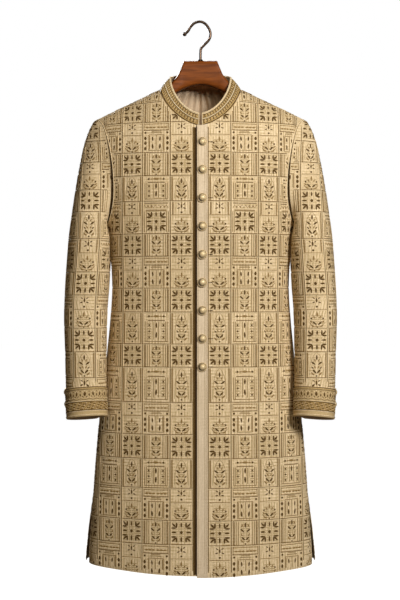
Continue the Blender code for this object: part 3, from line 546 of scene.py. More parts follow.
class SleeveChart:
    """Where (u, v) lies on the sleeve: u runs back from the frontmost line."""

    LOW, HIGH, LEVELS, SPAN, COLUMNS = -0.875, -0.205, 135, 0.260, 521
    PLAIN, PLAIN_LOW, PLAIN_HIGH = 0.010, -0.640, -0.340  # either side of the inner line
    HEAD_START, ARM_LONG = 0.035, 0.33  # as a way down the head, and in metres

    def __init__(self):
        ways = np.concatenate([
            np.linspace(0, 1, 46), np.linspace(1, 2, 34)[1:], np.linspace(2, 3, 10)[1:]
        ])
        turns = np.linspace(-math.pi, math.pi, 145)
        way, turn = np.meshgrid(ways, turns, indexing="ij")
        points = sleeve_points(turn, way)
        points[..., 2] = np.minimum.accumulate(points[..., 2], axis=0)
        self.z = np.linspace(self.LOW, self.HIGH, self.LEVELS)
        self.back = np.linspace(-self.SPAN, self.SPAN, self.COLUMNS)
        middle = len(turns) // 2
        turn_rows, way_rows, self.ends, self.front = [], [], [], []
        for z in self.z:
            here = points[0, :, 2] > z
            found = np.zeros(len(turns))
            place = np.zeros((len(turns), 3))
            for j in range(len(turns)):
                found[j] = np.interp(-z, -points[:, j, 2], ways)
                for k in range(3):
                    place[j, k] = np.interp(found[j], ways, points[:, j, k])
            run = run_along(place)
            run = run - run[middle]
            first = middle - int(np.argmin(here[middle::-1])) if not here[:middle].all() else 0
            last = middle + int(np.argmin(here[middle:])) if not here[middle:].all() else -1
            turn_rows.append(np.interp(self.back, run, turns))
            way_rows.append(np.interp(self.back, run, found))
            self.ends.append((run[first], run[last]))
            if z > SLEEVE_LEVELS[0][0]:
                # over the sleeve head the frontmost line goes straight up
                outward = -place[middle:, 0]
                self.front.append(np.interp(-SLEEVE_LEVELS[0][1], outward, run[middle:]))
            else:
                self.front.append(np.interp(math.pi / 2, turns, run))
        self.turns, self.ways = np.array(turn_rows), np.array(way_rows)
        self.ends, self.front = np.array(self.ends), np.array(self.front)

    def turn_way(self, u, v):
        a = (v - self.LOW) / (self.HIGH - self.LOW) * (self.LEVELS - 1)
        run = np.interp(v, self.z, self.front) - u
        b = (run + self.SPAN) / (2 * self.SPAN) * (self.COLUMNS - 1)
        return sampled(self.turns, a, b), sampled(self.ways, a, b)

    def inside(self, u, v, margin):
        run = np.interp(v, self.z, self.front) - u
        low = np.interp(v, self.z, self.ends[:, 0])
        high = np.interp(v, self.z, self.ends[:, 1])
        _, way = self.turn_way(u, v)
        fading = ease((v - self.PLAIN_LOW) / 0.040) * ease((self.PLAIN_HIGH - v) / 0.050)
        room = margin + self.PLAIN * fading
        good = (run > low + room) & (run < high - room) & (way > self.HEAD_START)
        return good & (way < 2 - margin / self.ARM_LONG) & (v < self.HIGH - margin)


fronts_chart, back_chart, sleeve_chart = BodyChart(-1), BodyChart(1), SleeveChart()


def mirrored(points, normals, side):
    """Points and normals, turned over in x where side is -1."""
    flip = np.ones(np.shape(side) + (3,))
    flip[..., 0] = side
    return points * flip, normals * flip


def front_height(z, side):
    """Height on a front: the wearer's left one hangs a little lower at the hem."""
    return z - side * HEM_STEP * below_slit(z)


def front_skin(side):
    """(u, v, out) to points and normals of a front. side +1 is the wearer's left."""

    def skin(u, v, out):
        x, z = fronts_chart.xz(u, v)
        out = out + (lap(x) if side > 0 else 0.0)
        return mirrored(*body_points(x, front_height(z, side), -1, out), side)

    return skin


def back_skin(u, v, out):
    x, z = back_chart.xz(np.abs(u), v)
    return mirrored(*body_points(x, z, 1, out), np.where(u < 0, -1, 1))


def sleeve_side(side):
    def skin(u, v, out):
        return mirrored(*sleeve_skin(*sleeve_chart.turn_way(u, v), out), side)

    return skin


# ---- Materials -------------------------------------------------------------------------

SILK_TINT = (1.0, 0.86, 0.62, 1.0)
SILK_SHEEN, SHEEN_ROUGHNESS, THREAD_GLOSS, WOOD_GLOSS = 0.03, 0.4, 0.12, 0.15
RIB_PITCHES = (0.0064, 0.0068)  # down the cloth and across it, in metres


class Nodes:
    """Short calls for wiring nodes."""

    def __init__(self, tree):
        self.tree = tree

    def new(self, kind, **values):
        node = self.tree.nodes.new(kind)
        for name, value in values.items():
            setattr(node, name, value)
        return node

    def link(self, start, end):
        self.tree.links.new(start, end)

    def feed(self, value, socket):
        """Puts a number, a colour or another node's output into a socket."""
        if isinstance(value, (int, float)):
            socket.default_value = value
        elif isinstance(value, tuple):
            socket.default_value = (*value, 1.0)
        else:
            self.link(value, socket)

    def math(self, operation, first, second=0.0, third=0.0):
        node = self.new("ShaderNodeMath", operation=operation)
        for socket, value in zip(node.inputs, (first, second, third)):
            self.feed(value, socket)
        return node.outputs[0]

    def mix(self, factor, first, second):
        node = self.new("ShaderNodeMix", data_type="RGBA")
        for place, value in ((0, factor), (6, first), (7, second)):
            self.feed(value, node.inputs[place])
        return node.outputs[2]

    def noise(self, vector, scale, detail=2.0, stretch=(1, 1, 1)):
        place = self.new("ShaderNodeMapping")
        place.inputs["Scale"].default_value = stretch
        self.link(vector, place.inputs["Vector"])
        node = self.new("ShaderNodeTexNoise")
        node.inputs["Scale"].default_value = scale
        node.inputs["Detail"].default_value = detail
        self.link(place.outputs[0], node.inputs["Vector"])
        return node.outputs["Fac"]

    def spread(self, value, low, high):
        node = self.new("ShaderNodeMapRange")
        node.inputs["From Min"].default_value, node.inputs["From Max"].default_value = low, high
        self.link(value, node.inputs["Value"])
        return node.outputs[0]

    def place(self):
        return self.new("ShaderNodeTexCoord").outputs["Object"]

    def cloth_uv(self):
        return self.new("ShaderNodeUVMap", uv_map="Cloth").outputs[0]

    def bump(self, height, strength, distance, shader):
        lift = self.new("ShaderNodeBump")
        lift.inputs["Strength"].default_value = strength
        lift.inputs["Distance"].default_value = distance
        self.link(height, lift.inputs["Height"])
        self.link(lift.outputs[0], shader.inputs["Normal"])


def weave_group():
    """Warp, weft and slow variation of silk cloth, from its own UV in metres."""
    tree = bpy.data.node_groups.new("silk_weave", "ShaderNodeTree")
    for name in ("Tone", "Slub", "Height", "Rib"):
        tree.interface.new_socket(name, in_out="OUTPUT", socket_type="NodeSocketFloat")
    n = Nodes(tree)
    out = n.new("NodeGroupOutput")
    uv = n.cloth_uv()
    warp = n.noise(uv, 1.0, 1.0, (1500, 90, 1))
    weft = n.noise(uv, 1.0, 1.0, (90, 1500, 1))
    streaks = n.math("MULTIPLY", n.noise(uv, 1.0, 1.0, (420, 26, 1)), 0.6)
    flecks = n.math("MULTIPLY", n.noise(uv, 1.0, 2.0, (330, 250, 1)), 0.4)
    threads = n.math("MULTIPLY", n.math("ADD", warp, weft), 0.5)
    grain = n.math("MULTIPLY_ADD", n.math("ADD", streaks, flecks), 1.4, threads)
    n.link(n.noise(uv, 9.0, 3.0), out.inputs["Tone"])
    n.link(n.spread(grain, 0.95, 1.40), out.inputs["Slub"])
    figure = n.noise(uv, 1.0, 2.0, (420, 300, 1))
    n.link(n.math("MULTIPLY_ADD", grain, 0.6, figure), out.inputs["Height"])
    # ribs that run down in some places and across in others, and fade in and out
    parts = n.new("ShaderNodeSeparateXYZ")
    n.link(uv, parts.inputs[0])
    turns = [n.math("MULTIPLY", parts.outputs[k], 2 * math.pi / RIB_PITCHES[k]) for k in (0, 1)]
    crossing = n.spread(n.noise(uv, 26.0, 1.0), 0.46, 0.60)
    down = n.math("MULTIPLY", n.math("SINE", turns[0]), n.math("SUBTRACT", 1.0, crossing))
    across_cloth = n.math("MULTIPLY", n.math("SINE", turns[1]), crossing)
    fading = n.spread(n.noise(uv, 75.0, 1.0), 0.32, 0.62)
    n.link(n.math("MULTIPLY", n.math("ADD", down, across_cloth), fading), out.inputs["Rib"])
    return tree


def principled(name, roughness, metallic=0.0, sheen=0.0, coat=0.0, specular=0.5):
    material = bpy.data.materials.new(name)
    material.use_nodes = True
    shader = material.node_tree.nodes["Principled BSDF"]
    for socket, value in (
        ("Roughness", roughness), ("Metallic", metallic), ("Coat Weight", coat),
        ("Specular IOR Level", specular), ("Sheen Weight", sheen),
        ("Sheen Roughness", SHEEN_ROUGHNESS),
    ):
        shader.inputs[socket].default_value = value
    return material, Nodes(material.node_tree), shader


weave = weave_group()


def silk(name, light, dark, thread, roughness=0.55, bump=0.25, ribs=0.0, gloss=0.14):
    """Woven silk: slow drift between two tones, with fine warp and weft threads."""
    material, n, shader = principled(name, roughness, sheen=SILK_SHEEN, specular=gloss)
    for tint in ("Specular Tint", "Sheen Tint"):
        shader.inputs[tint].default_value = SILK_TINT
    group = n.new("ShaderNodeGroup", node_tree=weave)
    slub = group.outputs["Slub"]
    base = n.mix(n.spread(group.outputs["Tone"], 0.35, 0.65), dark, light)
    amount = n.math("MULTIPLY", slub, 0.60)
    if ribs:
        amount = n.math("ADD", amount, 0.5 * ribs)
        amount = n.math("MULTIPLY_ADD", group.outputs["Rib"], ribs, amount)
    n.link(n.mix(amount, base, thread), shader.inputs["Base Color"])
    n.link(n.math("MULTIPLY_ADD", slub, 0.14, roughness - 0.07), shader.inputs["Roughness"])
    n.bump(group.outputs["Height"], bump, 0.0006, shader)
    return material


def thread(name, light, dark, roughness=0.5, scale=700.0):
    """Embroidery or couching thread, twisted light and dark."""
    material, n, shader = principled(name, roughness, specular=THREAD_GLOSS)
    twist = n.spread(n.noise(n.place(), scale, 1.0), 0.35, 0.65)
    n.link(n.mix(twist, dark, light), shader.inputs["Base Color"])
    n.bump(twist, 0.3, 0.0003, shader)
    return material


brocade = silk(
    "brocade_silk", (0.940, 0.765, 0.520), (0.840, 0.668, 0.428), (0.480, 0.345, 0.172),
    ribs=0.42, gloss=0.0,
)
band_silk = silk(
    "band_silk", (0.330, 0.210, 0.078), (0.250, 0.150, 0.050), (0.400, 0.265, 0.110), 0.6
)
plain_silk = silk(
    "placket_silk", (0.820, 0.680, 0.500), (0.750, 0.610, 0.430), (0.560, 0.430, 0.280), 0.5,
    ribs=0.10,
)
cuff_silk = silk(
    "cuff_silk", (0.600, 0.450, 0.250), (0.500, 0.360, 0.180), (0.420, 0.290, 0.130)
)
# painted shade: dark cloth inside the back along the side slits, where it lies in shade behind the
# fronts
painted_slit_shade = silk(
    "painted_slit_shade", (0.150, 0.105, 0.050), (0.115, 0.078, 0.036), (0.090, 0.060, 0.030)
)
satin = silk(
    "satin_lining", (0.760, 0.580, 0.400), (0.640, 0.470, 0.310), (0.760, 0.600, 0.420),
    0.38, 0.1,
)
leaf_thread = thread("leaf_thread", (0.135, 0.076, 0.022), (0.072, 0.037, 0.009), 0.75)
# painted shadow: near-black thread for cords that stand in for the shade in the sleeve's fold
fold_shadow_thread = thread("fold_shadow_thread", (0.048, 0.026, 0.008), (0.026, 0.013, 0.004), 1.0)
tan_thread = thread("tan_thread", (0.310, 0.198, 0.074), (0.215, 0.132, 0.044))
brown_thread = thread("brown_thread", (0.205, 0.120, 0.036), (0.130, 0.072, 0.018))
soft_thread = thread("soft_thread", (0.470, 0.345, 0.180), (0.380, 0.270, 0.130))
pale_thread = thread("pale_thread", (0.840, 0.690, 0.450), (0.720, 0.565, 0.345), 0.7)
cream_cord = thread("cream_cord", (0.880, 0.730, 0.490), (0.690, 0.530, 0.310), 0.45, 420.0)
gold_thread = thread("gold_thread", (0.700, 0.510, 0.235), (0.440, 0.280, 0.095), 0.42)
dark_thread = thread("dark_thread", (0.080, 0.044, 0.016), (0.040, 0.021, 0.007))


def antique_gold():
    """Worn gold, dark where the button's own UV says: patina in its hollows, made heavier on one
    side by painted shade.
    """
    material, n, shader = principled("antique_gold", 0.46, metallic=0.3)
    wear_and_shade = n.spread(n.noise(n.place(), 420.0, 3.0), 0.35, 0.65)
    hollow = n.new("ShaderNodeSeparateXYZ")
    n.link(n.cloth_uv(), hollow.inputs[0])
    colour = n.mix(wear_and_shade, (0.600, 0.440, 0.220), (0.820, 0.660, 0.400))
    n.link(n.mix(hollow.outputs[1], colour, (0.045, 0.022, 0.006)), shader.inputs["Base Color"])
    n.link(n.math("MULTIPLY_ADD", wear_and_shade, -0.12, 0.54), shader.inputs["Roughness"])
    return material


def stained_wood():
    material, n, shader = principled("stained_wood", 0.50, coat=0.02, specular=WOOD_GLOSS)
    place = n.place()
    rings = n.noise(place, 1.0, 4.0, (14, 160, 160))
    fine = n.noise(place, 1.0, 2.0, (60, 900, 900))
    grain = n.spread(n.math("MULTIPLY_ADD", fine, 0.35, rings), 0.42, 0.92)
    n.link(n.mix(grain, (0.275, 0.074, 0.011), (0.110, 0.028, 0.005)), shader.inputs["Base Color"])
    n.link(n.math("MULTIPLY_ADD", grain, 0.12, 0.42), shader.inputs["Roughness"])
    n.bump(grain, 0.12, 0.0004, shader)
    return material


def bronzed_steel():
    material, n, shader = principled("bronzed_steel", 0.33, metallic=1.0)
    wear_and_shade = n.spread(n.noise(n.place(), 180.0, 3.0), 0.4, 0.7)
    n.link(n.mix(wear_and_shade, (0.075, 0.048, 0.034), (0.150, 0.100, 0.068)), shader.inputs["Base Color"])
    n.link(n.math("MULTIPLY_ADD", wear_and_shade, 0.2, 0.26), shader.inputs["Roughness"])
    return material


gold, wood, steel = antique_gold(), stained_wood(), bronzed_steel()


# ---- Meshes ----------------------------------------------------------------------------


def add_object(name, data):
    thing = bpy.data.objects.new(name, data)
    bpy.context.scene.collection.objects.link(thing)
    return thing


def show(name, bm, materials, node=None, sharp=40):
    """One finished object of a bmesh, riding on the coat, in place of a node if one is given."""
    mesh = bpy.data.meshes.new(name)
    bm.to_mesh(mesh)
    bm.free()
    for material in materials:
        mesh.materials.append(material)
    mesh.shade_smooth()
    mesh.set_sharp_from_angle(angle=math.radians(sharp))
    piece = add_object(name, mesh)
    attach(piece, "root")
    if node:
        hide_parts(node)
    return piece


def show_cloth(name, bm, materials, node, thickness=CLOTH, edge=0.0005):
    """A sheet of cloth with its wall and soft edges. A second material is its inside."""
    piece = show(name, bm, materials, node)
    wall = piece.modifiers.new("Wall", "SOLIDIFY")
    wall.thickness, wall.offset = thickness, -1.0
    wall.use_even_offset = False
    if len(materials) > 1:
        wall.material_offset, wall.material_offset_rim = 1, 0
    soft = piece.modifiers.new("Edge", "BEVEL")
    soft.width, soft.segments, soft.limit_method = edge, 2, "ANGLE"
    soft.angle_limit = math.radians(60)
    soft.use_clamp_overlap = True
    return piece


def cloth_grid(points, normals, uv, tube=False):
    """A grid moved onto rows and columns of points, facing out, with its UV in metres."""
    rows, columns = points.shape[:2]
    bm = bmesh.new()
    layer = bm.loops.layers.uv.new("Cloth")
    bmesh.ops.create_grid(bm, x_segments=columns - 1, y_segments=rows - 1, size=1.0)
    place = {}
    for vert in bm.verts:
        column = round((vert.co.x + 1) / 2 * (columns - 1))
        row = round((vert.co.y + 1) / 2 * (rows - 1))
        place[vert] = (row, column)
        vert.co = Vector(points[row, column])
    for face in bm.faces:
        for loop in face.loops:
            loop[layer].uv = uv[0][place[loop.vert]], uv[1][place[loop.vert]]
    bm.normal_update()
    facing = sum(face.normal.dot(Vector(normals[place[face.verts[0]]])) for face in bm.faces)
    if facing < 0:
        bmesh.ops.reverse_faces(bm, faces=bm.faces)
    if tube:
        bmesh.ops.remove_doubles(bm, verts=bm.verts, dist=1e-6)
    bm.normal_update()
    return bm


def both_halves(half, mirror):
    """A half grid with its mirrored copy before it; they share the middle column."""
    return np.concatenate([half[:, :0:-1] * mirror, half], axis=1)


def tubes(runs, radius, resolution=0):
    """A mesh of round cords. A run is its points and the share of the radius at each."""
    curve = bpy.data.curves.new("cord", "CURVE")
    curve.dimensions = "3D"
    curve.bevel_depth, curve.bevel_resolution = radius, resolution
    curve.use_fill_caps = True
    for points, shares in runs:
        spline = curve.splines.new("POLY")
        spline.points.add(len(points) - 1)
        spline.points.foreach_set("co", np.column_stack([points, np.ones(len(points))]).ravel())
        spline.points.foreach_set("radius", shares)
    holder = add_object("cord", curve)
    mesh = bpy.data.meshes.new_from_object(holder)
    bpy.data.objects.remove(holder, do_unlink=True)
    bpy.data.curves.remove(curve)
    return mesh


def template(kind):
    """A small closed shape made once and laid many times: x along, y across, z up from 0
    to 1. The faces of its outline are marked."""
    bm = bmesh.new()
    if kind in ("leaf", "dot"):
        sides = 8 if kind == "leaf" else 6
        bmesh.ops.create_cone(
            bm, cap_ends=True, segments=sides, radius1=1.24, radius2=1.0, depth=1.0
        )
        for vert in bm.verts:
            vert.co.z = 0.55 if vert.co.z > 0 else 0.0
        top = [face for face in bm.faces if all(vert.co.z > 0.3 for vert in face.verts)]
        bmesh.ops.inset_region(bm, faces=top, thickness=0.46, depth=0.45, use_even_offset=False)
        if kind == "leaf":
            for vert in bm.verts:
                reach = math.hypot(vert.co.x, vert.co.y)
                vert.co.y *= (abs(vert.co.y) / reach) ** 0.45
    elif kind == "knot":
        bmesh.ops.create_icosphere(bm, subdivisions=1, radius=1.0)
    else:
        bmesh.ops.create_cube(bm, size=2.0)
        top = [vert for vert in bm.verts if vert.co.z > 0]
        bmesh.ops.scale(bm, verts=top, vec=(0.75, 0.5, 1.0))
    bmesh.ops.recalc_face_normals(bm, faces=bm.faces)
    verts = np.array([vert.co for vert in bm.verts])
    low, high = verts[:, 2].min(), verts[:, 2].max()
    verts[:, 2] = (verts[:, 2] - low) / (high - low)
    faces = [[vert.index for vert in face.verts] for face in bm.faces]
    outline = [verts[face, 2].min() < 0.01 < verts[face, 2].max() for face in faces]
    bm.free()
    return verts, faces, outline


TEMPLATES = {kind: template(kind) for kind in ("leaf", "dot", "knot", "stitch")}
SUNK = 0.0003  # how far a laid shape's flat base goes into the cloth


def read_all(items, name, kind=np.int32, size=1):
    values = np.empty(len(items) * size, dtype=kind)
    items.foreach_get(name, values)
    return values


class Laid:
    """Collects shapes and cords laid on a skin, and shows them as one piece."""

    def __init__(self, skin):
        self.skin = skin
        self.parts = []  # points, corners, corners of each face, colour of each face
        self.runs = {}  # (colour, radius, height or None) to runs

    def lay(self, kind, spots, colour, height, rim=None):
        """spots: rows of u, v, angle, half length, half width."""
        if len(spots) == 0:
            return
        spots = np.array(spots, dtype=float)
        shape, faces, outline = TEMPLATES[kind]
        colours = [rim if edge and rim is not None else colour for edge in outline]
        cos, sin = np.cos(spots[:, 2])[:, None], np.sin(spots[:, 2])[:, None]
        along = shape[None, :, 0] * spots[:, 3:4]
        across_it = shape[None, :, 1] * spots[:, 4:5]
        u = spots[:, 0:1] + along * cos - across_it * sin
        v = spots[:, 1:2] + along * sin + across_it * cos
        out = -SUNK + shape[None, :, 2] * (height + SUNK) * np.ones_like(u)
        points, _ = self.skin(u, v, out)
        first = np.arange(len(spots))[:, None] * len(shape)
        self.parts.append((
            points.reshape(-1, 3), (np.concatenate(faces)[None, :] + first).ravel(),
            np.tile([len(face) for face in faces], len(spots)), np.tile(colours, len(spots)),
        ))

    def cord(self, u, v, colour, radius, height=0.0):
        self.runs.setdefault((colour, radius, height), []).append((u, v))

    def cord_through(self, points, colour, radius, shares=None):
        """A cord through ready points in space; shares thin it along the way."""
        shares = np.ones(len(points)) if shares is None else shares
        self.runs.setdefault((colour, radius, None), []).append((points, shares))

    def make_cords(self):
        for (colour, radius, height), runs in self.runs.items():
            if height is not None:
                ends = np.cumsum([len(u) for u, _ in runs])[:-1]
                u, v = (np.concatenate(lines) for lines in zip(*runs))
                points, _ = self.skin(u, v, np.full(u.shape, height))
                runs = [(run, np.ones(len(run))) for run in np.split(points, ends)]
            cord = tubes(runs, radius)
            self.parts.append((
                read_all(cord.vertices, "co", float, 3).reshape(-1, 3),
                read_all(cord.loops, "vertex_index"), read_all(cord.polygons, "loop_total"),
                np.full(len(cord.polygons), colour),
            ))
            bpy.data.meshes.remove(cord)

    def show(self, name, materials, slot, sharp=40):
        self.make_cords()
        firsts = np.cumsum([0] + [len(points) for points, *_ in self.parts])
        points, corners, sizes, colours = zip(*self.parts)
        corners = [part + first for part, first in zip(corners, firsts)]
        points, corners, sizes, colours = map(np.concatenate, (points, corners, sizes, colours))
        mesh = bpy.data.meshes.new(name)
        mesh.vertices.add(len(points))
        mesh.vertices.foreach_set("co", points.ravel())
        mesh.loops.add(len(corners))
        mesh.loops.foreach_set("vertex_index", corners.astype(np.int32))
        mesh.polygons.add(len(sizes))
        starts = np.cumsum(sizes) - sizes
        mesh.polygons.foreach_set("loop_start", starts.astype(np.int32))
        mesh.polygons.foreach_set("material_index", colours.astype(np.int32))
        mesh.update(calc_edges=True)
        mesh.validate()
        bm = bmesh.new()
        bm.from_mesh(mesh)
        bpy.data.meshes.remove(mesh)
        bmesh.ops.recalc_face_normals(bm, faces=bm.faces)
        return show(name, bm, materials, sharp=sharp)


# ---- The woven pattern ---------------------------------------------------------------
# Each tile is charted about its own middle, in millimetres for a tile of its kind's full
# size; it stretches a little with its row and column. A leaf is (u, v, degrees, length),
# with its width after them where it isn't the usual one; a dot is (u, v, width) and a
# line (kind, u's, v's).

LEAF, TAN, BROWN, PALE, SOFT, FOLD_SHADOW = range(6)
PATTERN_MATERIALS = (leaf_thread, tan_thread, brown_thread, pale_thread, soft_thread, fold_shadow_thread)
LINE_KINDS = {
    "faint": (TAN, 0.00045), "fine": (TAN, 0.00076), "strong": (BROWN, 0.00086),
    "pale": (PALE, 0.00085),
}
CORD_STEP, UPRIGHT_SHARE = 0.0088, 1.7  # between a line's points; longer where it stands
LINE_MARGIN, BAR_MARGIN, LEAF_MARGIN = 0.0022, 0.003, 0.0035
LEAF_LONG, LEAF_BROAD, DOT_BROAD = 0.00066, 0.00070, 0.00062  # metres a charted millimetre
LEAF_HEIGHT, BAR_HEIGHT = 0.00055, 0.00022
FIRST_U, PATTERN_EDGE_U = 0.0162, 0.0158
TILE_WIDE = {"A": 0.0485, "B": 0.0608}
ROW_TALL = {1: 0.068, 2: 0.050, 3: 0.0545, 4: 0.069}
BODY_REACH_U, SLEEVE_BACK_U, SLEEVE_FRONT_U = 0.31, 0.32, 0.12


def both(rows):
    """Leaves or dots, with those off the middle mirrored across it as well."""
    made = []
    for row in rows:
        made.append(row)
        if abs(row[0]) > 0.01:
            mirror = (180 - row[2], *row[3:]) if len(row) > 3 else row[2:]
            made.append((-row[0], row[1], *mirror))
    return made


def across(kind, *places):
    """Lines across a tile, as (v, how far they reach)."""
    return [(kind, (-reach, reach), (v, v)) for v, reach in places]


def upright(kind, *places):
    """Pairs of upright lines, or a single one in the middle, as (u, low v, high v)."""
    return [
        (kind, (side * u, side * u), (low, high))
        for u, low, high in places for side in ((-1, 1) if u else (1,))
    ]


def blossom(v):
    """A four-cornered blossom: three leaves spread from each inner corner."""
    rows = [(0, v + 15.3, 90, 8.0), (0, v - 14.6, 90, 9.4), (15.6, v, 0, 8.6), (0, v, 90, 5.6, 5.0)]
    for side in (-1, 1):
        rows += [(16.2, v + side * 9.2, 0, 9.2), (15.4, v + side * 14.8, side * 45, 9.4)]
        rows += [(10.0, v + side * 15.2, 90, 9.2)]
    return both(rows)


def fill(low_u, high_u, low_v, high_v, pitch):
    """Flat bars of soft thread side by side, as (u, v, half length, half width)."""
    parts = max(1, round((high_u - low_u) / 13.0))
    length = (high_u - low_u) / parts
    return [
        (low_u + (k + 0.5) * length, v, length / 2, pitch * 0.34)
        for v in np.arange(low_v + pitch / 2, high_v, pitch) for k in range(parts)
    ]


def vase_tile(sides):
    """A small flower on a stem over a bowl of leaves."""
    dark = [(0, 23.4, 90, 8.2), (6.2, 19.0, -16, 5.4), (5.8, 27.6, 30, 4.8), (5.8, -23.8, 41, 9.0)]
    tan = [(0, -6.0, 90, 7.6), (6.4, -11.5, 62, 5.0), (13.2, -20.6, 38, 5.2), (9.6, -29.8, 22, 5.6)]
    dots = [(0, 10.0, 4.0), (12.8, -14.2, 3.6), (0, -31.6, 2.6)]
    turn = np.linspace(math.pi * 1.06, math.pi * 1.94, 13)
    lines = [("fine", 16.4 * np.cos(turn), -20.5 + 10.2 * np.sin(turn)), ("fine", (0, 0), (34, 27))]
    lines += across("fine", (4.6, 22.5)) + across("pale", (2.4, 20)) + sides
    return both(dark), both(tan), both(dots), lines


def blossom_tile():
    return blossom(0), [], [], upright("pale", (22.2, -23, 23))


def sprig_tile():
    """A tall sprig under a pointed arch, with stripes beside it."""
    dark = [(0, 15.4, 90, 8.8), (7.2, 3.4, 36, 8.6), (8.8, -6.2, 50, 5.0), (4.4, -14.0, 47, 9.0)]
    tan = [(8.4, -18.8, 44, 6.8), (4.2, 9.6, 66, 4.6), (3.4, -5.0, 60, 4.6)]
    rise = np.linspace(0, 1, 9)
    half_u, half_v = 14.8 * (1 - rise**2.2) ** 0.75, -22 + 48 * rise**0.8
    arch_u = np.concatenate([half_u, -half_u[-2::-1]])
    arch_v = np.concatenate([half_v, half_v[-2::-1]])
    lines = [("faint", arch_u, arch_v)] + upright("fine", (21.2, -26, 26), (19.4, -26, 26))
    return both(dark), both(tan), [(0, -23.4, 3.2)], lines + upright("pale", (17.2, -26, 14))


def chest_tile():
    """A barred band over a box of four leaves, between columns of plump dots."""
    dark = both([(8.0, -4.0, 84, 8.2), (8.0, -20.6, 84, 9.6)])
    dark += both([(24.2, v, 90, 6.6, 4.4) for v in (-2.8, -13.4, -25.4)])
    tan = both([(u, 21.8, 0, 5.6, 2.6) for u in (5.0, 12.5, 20.0)])
    lines = across("fine", (29.4, 26)) + across("pale", (26.4, 26), (18.4, 26))
    lines += across("strong", (15.2, 27.5)) + across("fine", (12.8, 10), (9.6, 12))
    lines += upright("fine", (16.6, -29.5, 5.0), (14.6, -27.5, 3.0))
    lines += across("fine", (5.0, 16.6), (-29.5, 16.6)) + upright("fine", (0, -28, 4))
    lines += upright("pale", (19.6, -30, 6)) + upright("fine", (26.2, 16, 32))
    return dark, tan, both([(24.0, 9.8, 4.2)]), lines


def reed_tile():
    """A sprig between reeds."""
    dark = both([(0, 16.0, 90, 8.6), (6.7, 5.0, 42, 8.2), (4.4, -11.4, 38, 8.0)])
    tan = both([(8.0, -3.8, 60, 4.8), (7.0, -17.0, 42, 6.0), (7.0, 14.6, 120, 5.4)])
    lines = upright("fine", (15.0, -24, 24), (19.8, -24, 24))
    lines += upright("strong", (24.2, -24, 24)) + upright("fine", (26.2, -24, 24))
    return dark, tan, [(0, -22.4, 2.8)], lines + upright("pale", (17.4, -24, 24), (22.0, -24, 24))


def framed_tile():
    """A dotted row over a framed pair of leaves."""
    dark = [(0, 4.6, 90, 9.6), (0, -12.0, 94, 10.2)]
    dark += both([(15.6, v, 90, 3.8, 3.0) for v in (4.6, -5.8, -16.0)])
    tan = [(0, 20.0, 0, 9.6, 3.4)] + both([(9.4, 19.8, 0, 4.4)])
    lines = across("strong", (12.6, 18.5)) + upright("fine", (24.8, -23, 11), (20.6, -23, 11))
    lines += across("fine", (-23.0, 24.8)) + upright("fine", (5.4, -20, 10))
    lines += upright("pale", (22.7, -22, 13)) + across("pale", (15.4, 24))
    return dark, tan, both([(16.2, 19.8, 4.0)]), lines


def zigzag_tile():
    """A zigzag border over a framed blossom."""
    u = np.linspace(-26, 26, 14)
    lines = [("fine", u, 23.0 + 3.0 * (np.arange(14) % 2 * 2 - 1))] + across("strong", (29.8, 26))
    lines += across("fine", (15.4, 22), (13.4, 22)) + upright("fine", (21.8, -31, 12))
    lines += upright("pale", (24.2, -31, 12)) + upright("fine", (26.4, -31, 12))
    tan = both([(u, 22.0, 90, 3.6) for u in (10.0, 18.0)])
    return blossom(-8.8), tan, [], lines + across("pale", (18.0, 25))


TALL_SIDES = upright("fine", (19.4, 6, 33), (17.6, 6, 33)) + upright("pale", (14.8, 6, 33))
TILES = {
    (1, "A"): vase_tile(upright("pale", (20.4, -31, 2))), (2, "A"): blossom_tile(),
    (3, "A"): sprig_tile(), (4, "A"): vase_tile(TALL_SIDES),
    (1, "B"): chest_tile(), (2, "B"): reed_tile(), (3, "B"): framed_tile(), (4, "B"): zigzag_tile(),
}
BOWL_FILL = (-13.0, 13.0, -27.0, -6.0, 4.2)
FILLS = {
    # low u, high u, low v, high v and pitch of the bars under the motifs of a tile
    (1, "A"): [BOWL_FILL], (2, "A"): [(-20.0, 20.0, -20.5, 20.5, 3.5)],
    (3, "A"): [(-9.0, 9.0, -21.0, 18.0, 4.2)], (4, "A"): [BOWL_FILL],
    (1, "B"): [(-26.0, 26.0, 31.0, 34.5, 3.5), (-26.0, 26.0, 20.0, 24.0, 4.0)],
    (2, "B"): [(-10.0, 10.0, -20.0, 20.0, 4.4)],
    (3, "B"): [
        (-20.0, -11.0, -20.5, 9.5, 4.2), (11.0, 20.0, -20.5, 9.5, 4.2),
        (-22.0, 22.0, 17.4, 22.2, 4.0),
    ],
    (4, "B"): [(-19.5, 19.5, -29.0, 11.0, 3.5)],
}
# Row kinds and the heights between them, from the shoulder down
ROWS = (3, 2, 1, 2, 3, 4, 2, 1, 2, 3, 2, 3, 1, 2, 3, 1, 2, 1)
ROW_EDGES = (
    -0.1208, -0.1753, -0.2253, -0.2936, -0.3437, -0.3982, -0.4675, -0.5155, -0.5838,
    -0.6350, -0.7033, -0.7524, -0.8271, -0.8953, -0.9466, -1.0084, -1.0767, -1.1279, -1.1983,
)
SLEEVE_ROWS = (1, 2, 3, 1, 2, 3, 4, 2, 1, 2, 3, 1)
SLEEVE_EDGES = (
    -0.1580, -0.2080, -0.2633, -0.3106, -0.3718, -0.4191, -0.4772, -0.5492, -0.5987, -0.6696,
    -0.7201, -0.7750, -0.8430,
)


